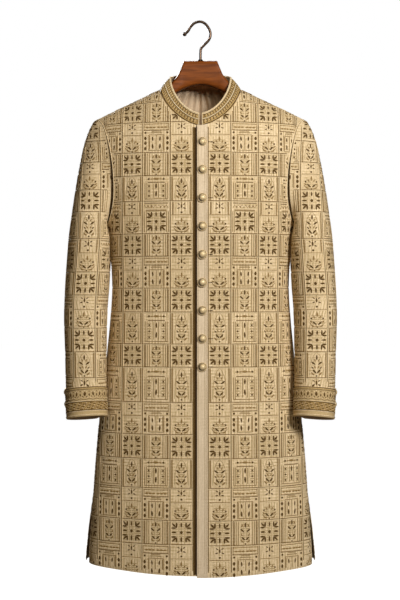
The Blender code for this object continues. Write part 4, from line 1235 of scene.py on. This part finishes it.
def pattern(laid, inside, columns, rows, edges):
    """Tiles, frames and borders of the silk over columns of (start, width, kind)."""
    leaves, dots, bars = {LEAF: [], TAN: []}, [], []

    def line(kind, u, v):
        """A cord along a line, wherever the cloth is under it."""
        u, v = np.asarray(u, float), np.asarray(v, float)
        if len(u) == 2:
            wide, tall = u[1] - u[0], v[1] - v[0]
            step = CORD_STEP if abs(wide) > abs(tall) else CORD_STEP * UPRIGHT_SHARE
            count = max(2, math.ceil(np.hypot(wide, tall) / step) + 1)
            share = np.linspace(0, 1, count)
            u, v = u[0] + share * wide, v[0] + share * tall
        there = np.flatnonzero(inside(u, v, LINE_MARGIN))
        for run in np.split(there, np.flatnonzero(np.diff(there) > 1) + 1):
            if len(run) > 1:
                laid.cord(u[run], v[run], *LINE_KINDS[kind])

    for start, wide, kind in columns:
        for row, top, low in zip(rows, edges, edges[1:]):
            middle_u, middle_v = start + wide / 2, (top + low) / 2
            corners = inside(
                np.array([start + 0.1 * wide, start + 0.9 * wide, middle_u, middle_u]),
                np.array([middle_v, middle_v, top - 0.004, low + 0.004]), 0.0,
            )
            if not corners.any():
                continue
            stretch_u = wide / TILE_WIDE[kind] * 0.001
            stretch_v = (top - low) / ROW_TALL[row] * 0.001

            def place(u, v):
                return middle_u + u * stretch_u, middle_v + v * stretch_v

            dark, tan, round_dots, lines = TILES[row, kind]
            for colour, chosen in ((LEAF, dark), (TAN, tan)):
                for u, v, angle, length, *broad in chosen:
                    broad = broad[0] if broad else 0.27 * length + 0.6
                    size = length * LEAF_LONG, broad * LEAF_BROAD
                    leaves[colour].append((*place(u, v), math.radians(angle), *size))
            for u, v, broad in round_dots:
                dots.append((*place(u, v), 0.0, broad * DOT_BROAD, broad * DOT_BROAD))
            for limits in FILLS[row, kind]:
                for u, v, half, broad in fill(*limits):
                    bars.append((*place(u, v), 0.0, half * stretch_u, broad * stretch_v))
            for line_kind, u, v in lines:
                line(line_kind, *place(np.array(u, float), np.array(v, float)))
    # borders between rows and columns: a dark line with a pale cord beside it
    low_u, high_u = columns[0][0], columns[-1][0] + columns[-1][1]
    for edge in edges:
        line("strong", (low_u, high_u), (edge, edge))
        line("pale", (low_u, high_u), (edge - 0.0021, edge - 0.0021))
    for start in sorted({c[0] for c in columns} | {c[0] + c[1] for c in columns}):
        for shift, kind in ((0.0, "strong"), (0.0019, "pale"), (-0.0019, "pale")):
            line(kind, (start + shift, start + shift), (edges[-1], edges[0]))
    bars = np.array(bars)
    ends = [inside(bars[:, 0] + way * bars[:, 3], bars[:, 1], BAR_MARGIN) for way in (-1, 1)]
    laid.lay("stitch", bars[ends[0] & ends[1]], SOFT, BAR_HEIGHT)
    for shape, spots, colour, rim in (
        ("leaf", leaves[LEAF], LEAF, PALE), ("leaf", leaves[TAN], TAN, None),
        ("dot", dots, LEAF, PALE),
    ):
        spots = np.array(spots)
        spots = spots[inside(spots[:, 0], spots[:, 1], LEAF_MARGIN)]
        laid.lay(shape, spots, colour, LEAF_HEIGHT, rim)


def column_list(start, kinds, up_to):
    """Columns of both kinds in turn, from a start until they pass a reach."""
    made = []
    while start <= up_to:
        kind = kinds[len(made) % 2]
        made.append((start, TILE_WIDE[kind], kind))
        start += TILE_WIDE[kind]
    return made


def turned_over(columns):
    return [(-start - wide, wide, kind) for start, wide, kind in reversed(columns)]


# ---- Fronts, back and placket -----------------------------------------------------------

CELLS = ((40, 80, 10, 18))  # yoke, skirt, neck, shoulder
ARMHOLE_CORDS = (
    # how far inward, how far out of the cloth, colour, radius
    (0.0002, -0.0003, BROWN, 0.00075), (0.0021, 0.0002, PALE, 0.0008),
)
# painted shadow: dark cords in the valley between sleeve and body, for the shade that falls there
FOLD_SHADOW_CORDS = ((0.0, 0.0026), (0.0030, 0.0022))  # how far out of the armhole, radius
FOLD_FROM, FOLD_LONG, FOLD_SUNK = 0.55, 1.9, 0.0006


def armhole_cords(laid, face, side, lifted):
    """The seam round the armhole: a dark cord in the join and a pale ridge inside it, and dark
    cords beside them that paint the shadow in the deep fold of the sleeve."""
    turns = np.linspace(0.02, math.pi - 0.02, 90)
    x, z = armhole(turns, face)
    out = lap(x) if lifted else np.zeros_like(x)
    for inward, up, colour, radius in ARMHOLE_CORDS:
        shift = inward * ease(np.sin(turns) / 0.3)
        low = inward * np.cos(turns) * 0.8
        height = np.minimum(z - low, shoulder_height(x - shift))
        points, _ = body_points(x - shift, height, face, out + up)
        laid.cord_through(points * (side, 1, 1), colour, radius)
    # painted shadow: dark cords, thinning upwards, along the fold beside the sleeve
    deep = turns > FOLD_FROM
    shares = 0.14 + 0.86 * ease((turns[deep] - FOLD_FROM) / FOLD_LONG)
    for outward, radius in FOLD_SHADOW_CORDS:
        points, _ = body_points(x[deep], z[deep], face, out[deep] - FOLD_SUNK)
        away = (outward * shares)[:, None] * np.array([1, 0, 0])
        laid.cord_through((points + away) * (side, 1, 1), FOLD_SHADOW, radius, shares)


def lay_pattern(name, skin, inside, columns, rows, edges, seam=()):
    laid = Laid(skin)
    pattern(laid, inside, columns, rows, edges)
    if seam:
        armhole_cords(laid, *seam)
    return laid.show(name, PATTERN_MATERIALS, "brocade", sharp=60)


def front_grid(side, edge, cells, columns=None, lift=0.0):
    """Points, normals and UV of a front, or of its first columns, with so many cells from
    its edge to the placket's."""
    centre_x = np.linspace(edge, PLACKET_X, cells + 1)[:-1]
    x, z = with_centre_columns(half_panel(PLACKET_X, -1, *CELLS), centre_x, -1)
    x, z = x[:, :columns], z[:, :columns]
    u, v = fronts_chart.uv(np.abs(x), z)
    out = (lap(x) if side > 0 else np.zeros_like(x)) + lift
    points, normals = mirrored(*body_points(x, front_height(z, side), -1, out), side)
    return points, normals, (np.where(x < 0, -u, u), v)


def make_front(side):
    name = "front_left" if side > 0 else "front_right"
    bm = cloth_grid(*front_grid(side, LEFT_EDGE_X if side > 0 else RIGHT_EDGE_X, 5))
    piece = show_cloth(name + "_cloth", bm, (brocade, satin), name)

    def inside(u, v, margin):
        return fronts_chart.inside(u, v, margin, PATTERN_EDGE_U)

    work = lay_pattern(
        name + "_pattern", front_skin(side), inside, column_list(FIRST_U, "AB", BODY_REACH_U),
        ROWS, ROW_EDGES, (-1, side, side > 0),
    )


def make_back():
    """The back, with dark cloth painted inside it along its side slits for the shade behind the
    fronts.
    """
    x, z = half_panel(0.0, 1, *CELLS)
    u, v = back_chart.uv(x, z)
    points, normals = (both_halves(half, (-1, 1, 1)) for half in body_points(x, z, 1))
    bm = cloth_grid(points, normals, (both_halves(u, -1), both_halves(v, 1)))
    # painted shade: faces near the side slits, whose inside takes the dark slit shade
    for face in bm.faces:
        middle = face.calc_center_median()
        if middle.z < SLIT_Z + 0.012 and abs(middle.x) > body_width(middle.z, 1) - 0.030:
            face.material_index = 2
    materials = (brocade, satin, brocade, painted_slit_shade)
    piece = show_cloth("back_cloth", bm, materials, "back")
    piece.modifiers["Wall"].material_offset_rim = 1
    half = TILE_WIDE["A"] / 2
    left = column_list(half, "BA", BODY_REACH_U)
    works = [
        lay_pattern(name, back_skin, back_chart.inside, columns, ROWS, ROW_EDGES, (1, side, False))
        for name, side, columns in (
            ("back_pattern_left", 1, [(-half, TILE_WIDE["A"], "A")] + left),
            ("back_pattern_right", -1, turned_over(left)),
        )
    ]


def tube_grid(ways, lift=0.0):
    """Sleeve points, normals and metres round the sleeve, in rows at the given ways."""
    turns = np.linspace(-math.pi, math.pi, 73)
    way, turn = np.meshgrid(ways, turns, indexing="ij")
    points, normals = sleeve_skin(turn, way, np.full(way.shape, lift))
    return points, normals, way, run_along(points)


def make_sleeves():
    rows = (np.linspace(0, 1, 40), np.linspace(1, 2, 54)[1:], np.linspace(2, 3, 11)[1:])
    points, normals, _, run = tube_grid(np.concatenate(rows))
    half = TILE_WIDE["A"] / 2
    columns = turned_over(column_list(half, "BA", SLEEVE_FRONT_U))
    columns += [(-half, 2 * half, "A")] + column_list(half, "BA", SLEEVE_BACK_U)
    for side, name in ((1, "sleeve_left"), (-1, "sleeve_right")):
        bm = cloth_grid(*mirrored(points, normals, side), (run, points[..., 2]), tube=True)
        piece = show_cloth(name + "_cloth", bm, (brocade, satin), name, edge=0.0004)
        work = lay_pattern(
            name + "_pattern", sleeve_side(side), sleeve_chart.inside, columns,
            SLEEVE_ROWS, SLEEVE_EDGES,
        )


def make_placket():
    """The placket strip with its stitching, and dark cords on the right front along the lapping
    edge that paint the shadow it casts.
    """
    grid = front_grid(1, LEFT_EDGE_X, 8, 9, SEAM + PLACKET_THICKNESS)
    piece = show_cloth(
        "placket_strip", cloth_grid(*grid), (plain_silk,), "placket",
        PLACKET_THICKNESS,
    )

    def skin(u, v, out):
        return front_skin(1)(u, v, out + SEAM + PLACKET_THICKNESS)

    laid = Laid(skin)
    laid.lay("stitch", [
        (u, v, math.pi / 2, 0.0011, 0.00028)
        for u in (-0.0060, 0.0137) for v in np.arange(-1.188, -0.238, 0.0032)
    ], 0, 0.00022)
    fall = np.arange(-1.186, -0.240, 0.012)
    for u, radius in ((0.0118, 0.00035), (0.0088, 0.0003), (-0.0040, 0.0003)):
        laid.cord(np.full_like(fall, u), fall, 0, radius, -0.00005)
    # painted shadow: dark and brown cords beside the lapping edge, for the shade it casts on the
    # right front
    fall = np.concatenate([np.arange(-1.190, -0.2392, 0.010), [-0.2392]])
    for u, colour, radius in ((0.0088, 1, 0.00150), (0.0116, 1, 0.00145), (0.0139, 2, 0.00105)):
        x, z = fronts_chart.xz(np.full_like(fall, u), fall)
        points, _ = body_points(x, z, -1, np.full_like(x, 0.0006))
        laid.cord_through(points * (-1, 1, 1), colour, radius)
    threads = (tan_thread, dark_thread, brown_thread)
    work = laid.show("placket_stitching", threads, "placket_silk")


# ---- Collar ----------------------------------------------------------------------------


def collar_frame(cells):
    """Base points, rim points, facing and metres along the stand collar, from the left end
    round the back to the right end."""
    end_x = np.linspace(COLLAR_END_X, PLACKET_X, max(2, cells // 6))[:-1]
    front_x = np.concatenate([end_x, neck_columns(PLACKET_X, cells)])
    back_x = NECK_X * np.sin(np.linspace(math.pi / 2, -math.pi / 2, 2 * cells + 1))[1:-1]
    left = body_points(front_x, neckline(front_x, -1), -1, lap(front_x))
    right = body_points(front_x, neckline(front_x, -1), -1, np.zeros_like(front_x))
    back = body_points(np.abs(back_x), neckline(back_x, 1), 1)
    back = mirrored(*back, np.where(back_x < 0, -1, 1))
    base, normals = (
        np.concatenate([left[k], back[k], right[k][::-1] * (-1, 1, 1)]) for k in (0, 1)
    )
    fronts, backs = len(front_x), len(back_x)
    faces = np.repeat([-1, 1, -1], [fronts, backs, fronts])
    necks = [fronts - 1, fronts + backs]
    base[necks, 1] = 0.0
    normals[necks, 1] = 0.0
    normals = unit(normals)
    rim_x = COLLAR_RIM_X * np.clip(base[:, 0] / NECK_X, -1, 1)
    rim_x[[0, -1]] = base[[0, -1], 0]
    rim = rim_points(rim_x, faces)
    around = unit(np.gradient(base, axis=0))
    away = unit(np.cross(around, normals))
    base = base + away * np.sign(away[:, 2:3]) * SEAM
    facing = unit(np.cross(rim - base, around))
    facing = facing * np.sign((facing * normals).sum(axis=1, keepdims=True))
    return base, rim, facing, run_along(0.5 * (base + rim))


COLLAR_BASE, COLLAR_RIM, COLLAR_FACING, COLLAR_RUN = collar_frame(40)
COLLAR_LONG, COLLAR_TALL = COLLAR_RUN[-1], 0.033


def collar_skin(s, v, out):
    """s: metres along the collar. v: metres up it."""

    def read(table):
        return np.stack([np.interp(s, COLLAR_RUN, table[:, k]) for k in range(3)], axis=-1)

    low, high, face = read(COLLAR_BASE), read(COLLAR_RIM), unit(read(COLLAR_FACING))
    share = np.asarray(v / COLLAR_TALL)
    swell = COLLAR_FULLNESS * np.sin(math.pi * np.clip(share, 0, 1))
    return low + (high - low) * share[..., None] + face * (swell + out)[..., None], face


COLLAR_CORDS = (
    # share of the height, colour, radius
    (0.030, 0, 0.0007), (0.095, 2, 0.0007), (0.475, 1, 0.0013), (0.425, 0, 0.0004),
    (0.528, 0, 0.0004), (0.850, 0, 0.0004), (0.965, 1, 0.0017), (0.90, 1, 0.0011),
)


def make_collar():
    """The stand collar, with two bands of sprays and knots between its cords."""
    heights = np.concatenate([[-0.045], np.linspace(0, 1, 11)]) * COLLAR_TALL
    s, v = np.meshgrid(np.linspace(0, COLLAR_LONG, 150), heights)
    bm = cloth_grid(*collar_skin(s, v, np.zeros_like(s)), (s, v))
    piece = show_cloth(
        "collar_cloth", bm, (band_silk, plain_silk), "collar",
        COLLAR_THICKNESS, 0.0006,
    )
    laid = Laid(collar_skin)
    fine = np.linspace(0.001, COLLAR_LONG - 0.001, 220)
    for h, colour, radius in COLLAR_CORDS:
        laid.cord(fine, np.full_like(fine, h * COLLAR_TALL), colour, radius, 0.0002)
    for end in (0.0004, COLLAR_LONG - 0.0004):
        laid.cord(np.full(8, end), np.linspace(0, 1, 8) * COLLAR_TALL, 1, 0.0010, 0.0)
    knots, sprays, dark, pale = [], [], [], []
    for band, h in enumerate((0.265, 0.690)):
        middle = h * COLLAR_TALL
        for k, s in enumerate(np.arange(0.006 + 0.0035 * band, COLLAR_LONG - 0.005, 0.0070)):
            lean = 0.75 * (1 - 2 * (k % 2))
            sprays += [
                (s, middle + 0.0018, lean, 0.0029, 0.0011),
                (s, middle - 0.0020, -lean, 0.0027, 0.0010),
            ]
            pale.append((s + 0.0018, middle, 0.0, 0.0013, 0.0011))
            dark += [
                (s - 0.0024, middle + 0.0030, 0.3, 0.0017, 0.0010),
                (s - 0.0024, middle - 0.0032, -0.3, 0.0017, 0.0010),
                (s - 0.0028, middle, 1.57, 0.0014, 0.0009),
            ]
            for lift in (-0.0042, 0.0043):
                knots += [(s + on, middle + lift, 0.0, 0.0011, 0.0009) for on in (0.0004, 0.0038)]
    laid.lay("leaf", sprays, 2, 0.0007)
    laid.lay("knot", knots, 2, 0.0007)
    laid.lay("knot", dark, 0, 0.0008)
    laid.lay("knot", pale, 1, 0.0008)
    threads = (dark_thread, cream_cord, gold_thread)
    work = laid.show("collar_embroidery", threads, "brocade_band", sharp=70)


# ---- Cuff bands ------------------------------------------------------------------------

BAND_TALL, BAND_LIFT, BAND_MOTIFS, SEED_PITCH = 0.062, SEAM + CUFF_BAND_THICKNESS, 18, 0.0030
BAND_LEVELS = (62, 57, 52, 47, 42, 37, 32, 28, 24, 20, 16, 12, 8, 4, 0)  # millimetres up
BAND_CORDS = (
    # height, colour, radius
    (0.0608, 0, 0.0008), (0.0583, 2, 0.0008), (0.0562, 0, 0.0005), (0.0322, 1, 0.0009),
    (0.0304, 0, 0.0006), (0.0132, 0, 0.0007), (0.0113, 1, 0.0009), (0.0030, 1, 0.0010),
)


def embroider_cuff(laid, around):
    """Cords round the band, drops and buds above its middle, and seeded knots below."""
    ring = np.linspace(0, around, 97)
    for v, colour, radius in BAND_CORDS:
        laid.cord(ring, np.full_like(ring, v), colour, radius, 0.0001)
    wavy = 0.0358 + 0.0012 * np.cos(ring * 2 * BAND_MOTIFS * math.pi / around)
    laid.cord(ring, wavy, 0, 0.0005, 0.0001)
    drops, small, knots, dark, pale = [], [], [], [], []
    for k in range(BAND_MOTIFS):
        s = (k + 0.5) * around / BAND_MOTIFS
        between = s + 0.5 * around / BAND_MOTIFS
        lean = 0.22 * math.sin(2.4 * k)
        drops.append((s, 0.0468, math.pi / 2 + lean, 0.0042, 0.0021))
        drops.append((between, 0.0448, math.pi / 2 - lean, 0.0028, 0.0015))
        for way in (-1, 1):
            small.append((s + way * 0.0034, 0.0412, math.pi / 2 - way * 0.7, 0.0022, 0.0009))
            pale.append((s + way * 0.0033, 0.0512, 0.6 * way, 0.0016, 0.0008))
            pale.append((s + way * 0.0052, 0.0388, -0.5 * way, 0.0015, 0.0008))
        pale.append((s, 0.0540, 0.0, 0.0014, 0.0009))
        small.append((between, 0.0522, 0.0, 0.0016, 0.0009))
    seeds = (knots, dark, knots, pale, knots, dark, knots)
    for row, v in enumerate(np.arange(0.0152, 0.0300, 0.0026)):
        for k in range(int(around / SEED_PITCH)):
            s = (k + 0.5 * (row % 2)) * SEED_PITCH
            seeds[(3 * k + 2 * row) % 7].append((s, v, 0.7 * (k % 3 - 1), 0.0014, 0.0010))
    laid.lay("leaf", drops, 0, 0.0006)
    laid.lay("leaf", small, 0, 0.0005)
    laid.lay("knot", knots, 2, 0.0007)
    laid.lay("knot", dark, 0, 0.0007)
    laid.lay("knot", pale, 1, 0.0008)


def make_cuffs():
    points, normals, way, run = tube_grid(3 - np.array(BAND_LEVELS) / BAND_LEVELS[0], BAND_LIFT)
    around = float(run.mean(axis=0)[-1])
    for side, name in ((1, "cuff_band_left"), (-1, "cuff_band_right")):
        uv = (run, (3 - way) * BAND_TALL)
        bm = cloth_grid(*mirrored(points, normals, side), uv, tube=True)
        layer = bm.loops.layers.uv.verify()
        for face in bm.faces:
            middle = sum(loop[layer].uv.y for loop in face.loops) / len(face.loops)
            face.material_index = 1 if 0.012 < middle < 0.032 else 0
        piece = show_cloth(
            name + "_cloth", bm, (cuff_silk, band_silk), name,
            CUFF_BAND_THICKNESS, 0.0004,
        )
        piece.modifiers["Wall"].material_offset = 0

        def skin(u, v, out):
            turn = -math.pi + 2 * math.pi * u / around
            return mirrored(*sleeve_skin(turn, 3 - v / BAND_TALL, out + BAND_LIFT), side)

        laid = Laid(skin)
        embroider_cuff(laid, around)
        threads = (leaf_thread, cream_cord, gold_thread)
        work = laid.show(name + "_embroidery", threads, "brocade_band", sharp=70)


# ---- Lining ----------------------------------------------------------------------------

PUCKER_DEPTH, LINING_THICKNESS = 0.0080, 0.0004


def make_lining():
    """Satin inside the upper back, gathered into puckers that fan from the neck."""
    x, z = half_panel(0.0, 1, 12, 11, 5, 7)
    x, z = x[:9, :5], z[:9, :5]
    a, b = np.meshgrid(np.linspace(0, 8, 57), np.linspace(0, 4, 61), indexing="ij")
    half = body_points(sampled(x, a, b), sampled(z, a, b), 1)
    outer, normals = (both_halves(part, (-1, 1, 1)) for part in half)
    down = np.linspace(0, 1, len(outer))[:, None]
    fan = np.arctan2(outer[..., 0], -0.075 - outer[..., 2])
    waves = 0.5 - 0.5 * np.cos(34 * fan + 1.6 * np.sin(5 * fan + 0.8))
    depth = PUCKER_DEPTH * ease(down / 0.16) * waves**0.8 * (0.75 + 0.25 * np.sin(9 * fan))
    under = outer - normals * (CLOTH + SEAM + OVERLAP_AIR)
    points = under - normals * depth[..., None]
    bm = cloth_grid(points, -normals, (points[..., 0], points[..., 2]))
    piece = show("lining_satin", bm, (satin,), "back_lining")
    wall = piece.modifiers.new("Wall", "SOLIDIFY")
    wall.thickness, wall.offset = LINING_THICKNESS, -1.0


# ---- Buttons ---------------------------------------------------------------------------

BUTTON_PROFILE = (
    # share of the radius, share of the height, how dark the hollow is
    (0.00, 0.00, 0.3), (0.84, 0.00, 0.5), (0.95, 0.08, 0.5), (1.00, 0.24, 0.1), (0.985, 0.38, 0.0),
    (0.95, 0.52, 0.0), (0.89, 0.52, 0.2), (0.86, 0.46, 1.0), (0.82, 0.40, 1.0), (0.70, 0.38, 1.0),
    (0.64, 0.42, 1.0), (0.615, 0.52, 1.0), (0.58, 0.64, 0.7), (0.53, 0.73, 0.3), (0.49, 0.77, 0.3),
    (0.44, 0.82, 0.1), (0.34, 0.91, 0.0), (0.18, 0.98, 0.0), (0.00, 1.00, 0.0),
)
BUTTON_HEIGHT, CUFF_BUTTON_RADIUS, CUFF_BUTTON_HEIGHT = 0.0062, 0.0085, 0.0055
SHADE_TURN = -2.0  # painted shade: where a front button's groove is painted darkest, lower left, as if lit from the upper right
SCALLOP_DEPTH, SCALLOPS = 0.00025, 16


def make_button(node):
    """A domed button turned from its profile, seated where the node's own button is."""
    low, high = (np.array(corner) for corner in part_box(node))
    middle = (low + high) / 2
    if node.startswith("front"):
        radius, height, shade_turn = BUTTON_RADIUS, BUTTON_HEIGHT, SHADE_TURN
        axis, seat = Vector((0, -1, 0)), Vector((middle[0], high[1], middle[2]))
    else:
        side = 1 if "left" in node else -1
        radius, height, shade_turn = CUFF_BUTTON_RADIUS, CUFF_BUTTON_HEIGHT, 0.0
        axis = Vector((side, 0, 0))
        seat = Vector((low[0] if side > 0 else high[0], middle[1], middle[2]))
    bm = bmesh.new()
    line = [bm.verts.new((radius * r, 0, height * h)) for r, h, _ in BUTTON_PROFILE]
    edges = [bm.edges.new(pair) for pair in zip(line, line[1:])]
    bmesh.ops.spin(
        bm, geom=line + edges, cent=(0, 0, 0), axis=(0, 0, 1), angle=2 * math.pi,
        steps=32, use_merge=True,
    )
    bmesh.ops.remove_doubles(bm, verts=bm.verts, dist=1e-6)
    bmesh.ops.recalc_face_normals(bm, faces=bm.faces)
    layer = bm.loops.layers.uv.new("Cloth")
    for face in bm.faces:
        for loop in face.loops:
            co = loop.vert.co
            r, h = math.hypot(co.x, co.y) / radius, co.z / height
            nearest = min(BUTTON_PROFILE, key=lambda row: abs(row[0] - r) + abs(row[1] - h))
            # painted shade: the groove's dark grows towards one side, as if the dome shaded it
            wear_and_shade = 0.60 + 0.40 * math.sin(math.atan2(co.y, co.x) + shade_turn)
            loop[layer].uv = (r, nearest[2] * wear_and_shade)
    # scallop the rim a little, like a cast one
    for vert in bm.verts:
        r = math.hypot(vert.co.x, vert.co.y) / radius
        if 0.84 < r < 0.99 and vert.co.z > 0.4 * height:
            vert.co.z += SCALLOP_DEPTH * math.cos(SCALLOPS * math.atan2(vert.co.y, vert.co.x))
    turn = Vector((0, 0, 1)).rotation_difference(axis).to_matrix()
    bmesh.ops.rotate(bm, verts=bm.verts, cent=(0, 0, 0), matrix=turn)
    bmesh.ops.translate(bm, verts=bm.verts, vec=seat)
    show(node + "_dome", bm, (gold,), node)


# ---- Hanger and hook -------------------------------------------------------------------


def hanger_outline(far, top_at, low_at, thick_at):
    """The upright section of the wood at a distance from the middle, as (y, z)."""
    # straight between the table's rows where the wood has corners
    top = float(np.interp(far, [r[0] for r in HANGER_LEVELS], [r[1] for r in HANGER_LEVELS]))
    top = top if far < 0.0878 else float(top_at(far))
    low, thick = float(low_at(far)), float(thick_at(far))
    if far < 0.0496:
        low = HANGER_LEVELS[0][2] - 0.0160 * (far / 0.0496) ** 1.9
    tall, eaves = top - low, top - thick * 0.34
    side = [
        (0.0, top), (thick * 0.36, top - thick * 0.36 * ROOF_SLOPE),
        (thick * 0.66, top - thick * 0.66 * ROOF_SLOPE), (thick * 0.86, eaves - tall * 0.03),
        (thick * 0.97, eaves - tall * 0.10), (thick, eaves - tall * 0.20),
        (thick, low + tall * 0.34), (thick * 0.97, low + tall * 0.20),
        (thick * 0.86, low + tall * 0.08), (thick * 0.60, low + tall * 0.015),
        (thick * 0.30, low),
    ]
    return side + [(0.0, low)] + [(-y, z) for y, z in reversed(side[1:])]


def make_hanger():
    """The wooden hanger: rounded sections along it, flat in front."""
    columns = [smooth_column(HANGER_LEVELS, k) for k in (1, 2, 3)]
    shoulder, tip = HANGER_LEVELS[-2][0], HANGER_LEVELS[-1][0]
    xs = np.concatenate([
        np.linspace(0, 0.0366, 9), np.linspace(0.0366, 0.0600, 9)[1:],
        np.linspace(0.0600, shoulder, 34)[1:],
        shoulder + (tip - shoulder) * np.sin(np.linspace(0, math.pi / 2, 6))[1:],
    ])
    xs = np.concatenate([-xs[:0:-1], xs])
    rings = np.array([[(x, y, z) for y, z in hanger_outline(abs(x), *columns)] for x in xs])
    rings = np.concatenate([rings, rings[:, :1]], axis=1)
    middle = rings.mean(axis=1, keepdims=True)
    bm = cloth_grid(rings, rings - middle, (rings[..., 0], rings[..., 2]), tube=True)
    bmesh.ops.holes_fill(bm, edges=[edge for edge in bm.edges if edge.is_boundary], sides=0)
    bmesh.ops.recalc_face_normals(bm, faces=bm.faces)
    show("hanger_wood", bm, (wood,), "hanger", sharp=50)


def smooth_route(points, per_gap):
    """More points along a smooth line through the given ones."""
    points = np.array(points)
    padded = np.vstack([2 * points[0] - points[1], points, 2 * points[-1] - points[-2]])
    run = []
    for i in range(1, len(padded) - 2):
        a, b, c, d = padded[i - 1 : i + 3]
        first, second, third = c - a, 2 * a - 5 * b + 4 * c - d, 3 * b - a - 3 * c + d
        for t in np.arange(per_gap) / per_gap:
            run.append(0.5 * (2 * b + first * t + second * t * t + third * t**3))
    return np.array(run + [points[-1]])


HOOK_FOOT = {"segments": 28, "radius1": 0.0058, "radius2": 0.0046, "depth": 0.0022}


def make_hook():
    """The bent wire with a ball at its end and a small collar where it enters the wood."""
    route = smooth_route(HOOK_ROUTE, 7)
    wire = np.stack([route[:, 0], np.zeros(len(route)), route[:, 1]], axis=-1)
    mesh = tubes([(wire, np.ones(len(wire)))], HOOK_RADIUS, 5)
    bm = bmesh.new()
    bm.from_mesh(mesh)
    bpy.data.meshes.remove(mesh)
    centre = route[0] + unit(route[0] - route[1]) * HOOK_BALL_RADIUS * 0.55
    ball = bmesh.ops.create_uvsphere(bm, u_segments=24, v_segments=16, radius=HOOK_BALL_RADIUS)
    bmesh.ops.translate(bm, verts=ball["verts"], vec=(centre[0], 0, centre[1]))
    foot = bmesh.ops.create_cone(bm, cap_ends=True, **HOOK_FOOT)
    foot_z = HANGER_LEVELS[0][1] + HOOK_FOOT["depth"] / 2 + SEAM
    bmesh.ops.translate(bm, verts=foot["verts"], vec=(0, 0, foot_z))
    bmesh.ops.recalc_face_normals(bm, faces=bm.faces)
    show("hook_wire", bm, (steel,), "hook", sharp=50)


# ---- Buttonholes -----------------------------------------------------------------------


def make_buttonholes():
    """A dark slot at each button, whipped over with leaf-coloured thread."""
    laid = Laid(front_skin(1))
    heights = [BUTTON_TOP_Z - k * BUTTON_PITCH for k in range(9)]
    laid.lay("stitch", [(0.0208, z, 0.0, 0.0052, 0.0008) for z in heights], 0, 0.0005)
    whip = [
        (s, z, math.pi / 2, 0.0012, 0.00028)
        for z in heights for s in np.arange(0.0158, 0.0262, 0.0007)
    ]
    laid.lay("stitch", whip, 1, 0.0007)
    laid.show("buttonholes", (dark_thread, leaf_thread), "brocade")


# ---- Everything, light and camera -------------------------------------------------------

FLOOR_Z, FLOOR_RADIUS = -1.75, 30.0
LIT_MIDDLE = Vector((0, 0, -0.6))
LIGHTS = (
    # name, place, size, power, colour
    ("key", (1.15, -2.08, 0.45), 0.6, 63, (1.0, 0.985, 0.950)),
    ("fill", (-0.50, -2.4, 0.75), 0.8, 13, (1.0, 0.88, 0.70)),
    ("behind", (-0.7, 2.9, 0.9), 1.4, 120, (1.0, 0.985, 0.955)),
)
SENSOR, CAMERA_DISTANCE, VIEW_TALL = 36.0, 3.0, 1.32
CAMERA_X, CAMERA_Z = -0.0011, -0.6094

make_front(1)
make_front(-1)
make_back()
make_sleeves()
make_placket()
make_collar()
make_cuffs()
make_lining()
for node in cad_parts:
    if "button" in node:
        make_button(node)
make_buttonholes()
make_hanger()
make_hook()


def camera_sees(n):
    return n.new("ShaderNodeLightPath").outputs["Is Camera Ray"]


def make_floor():
    """A pale floor that the camera sees as bright as the air above it."""
    material, n, shader = principled("pale_floor", 0.9)
    shader.inputs["Base Color"].default_value = (0.18, 0.16, 0.13, 1)
    shader.inputs["Emission Color"].default_value = (1, 1, 1, 1)
    n.link(camera_sees(n), shader.inputs["Emission Strength"])
    bm = bmesh.new()
    bmesh.ops.create_circle(bm, cap_ends=True, segments=64, radius=FLOOR_RADIUS)
    bmesh.ops.translate(bm, verts=bm.verts, vec=(0, 0, FLOOR_Z))
    mesh = bpy.data.meshes.new("floor")
    bm.to_mesh(mesh)
    bm.free()
    mesh.materials.append(material)
    add_object("floor", mesh)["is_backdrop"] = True


def make_world():
    """White air to the camera, and a dim warm glow on the coat."""
    world = bpy.data.worlds.new("studio")
    world.use_nodes = True
    n = Nodes(world.node_tree)
    background = world.node_tree.nodes["Background"]
    glow = n.mix(camera_sees(n), (0.026, 0.015, 0.005), (1.0, 1.0, 1.0))
    n.link(glow, background.inputs["Color"])
    background.inputs["Strength"].default_value = 1.0
    bpy.context.scene.world = world


def area_light(name, place, size, power, colour):
    """A soft square light turned to the coat's middle."""
    light = bpy.data.lights.new(name, "AREA")
    light.size, light.energy, light.color = size, power, colour
    holder = add_object(name, light)
    holder.location = place
    way = LIT_MIDDLE - Vector(place)
    holder.rotation_euler = way.to_track_quat("-Z", "Y").to_euler()


make_floor()
make_world()
for light in LIGHTS:
    area_light(*light)
scene = bpy.context.scene
scene.view_settings.view_transform = "Standard"

lens = bpy.data.cameras.new("camera")
lens.sensor_width, lens.lens = SENSOR, SENSOR * CAMERA_DISTANCE / VIEW_TALL
camera = add_object("camera", lens)
camera.location = (CAMERA_X, -CAMERA_DISTANCE, CAMERA_Z)
camera.rotation_euler = (math.pi / 2, 0, 0)
scene.camera = camera

plain = lambda box: [[float(value) for value in corner] for corner in box]
{"cad": plain(cad_box), "visual": plain(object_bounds())}
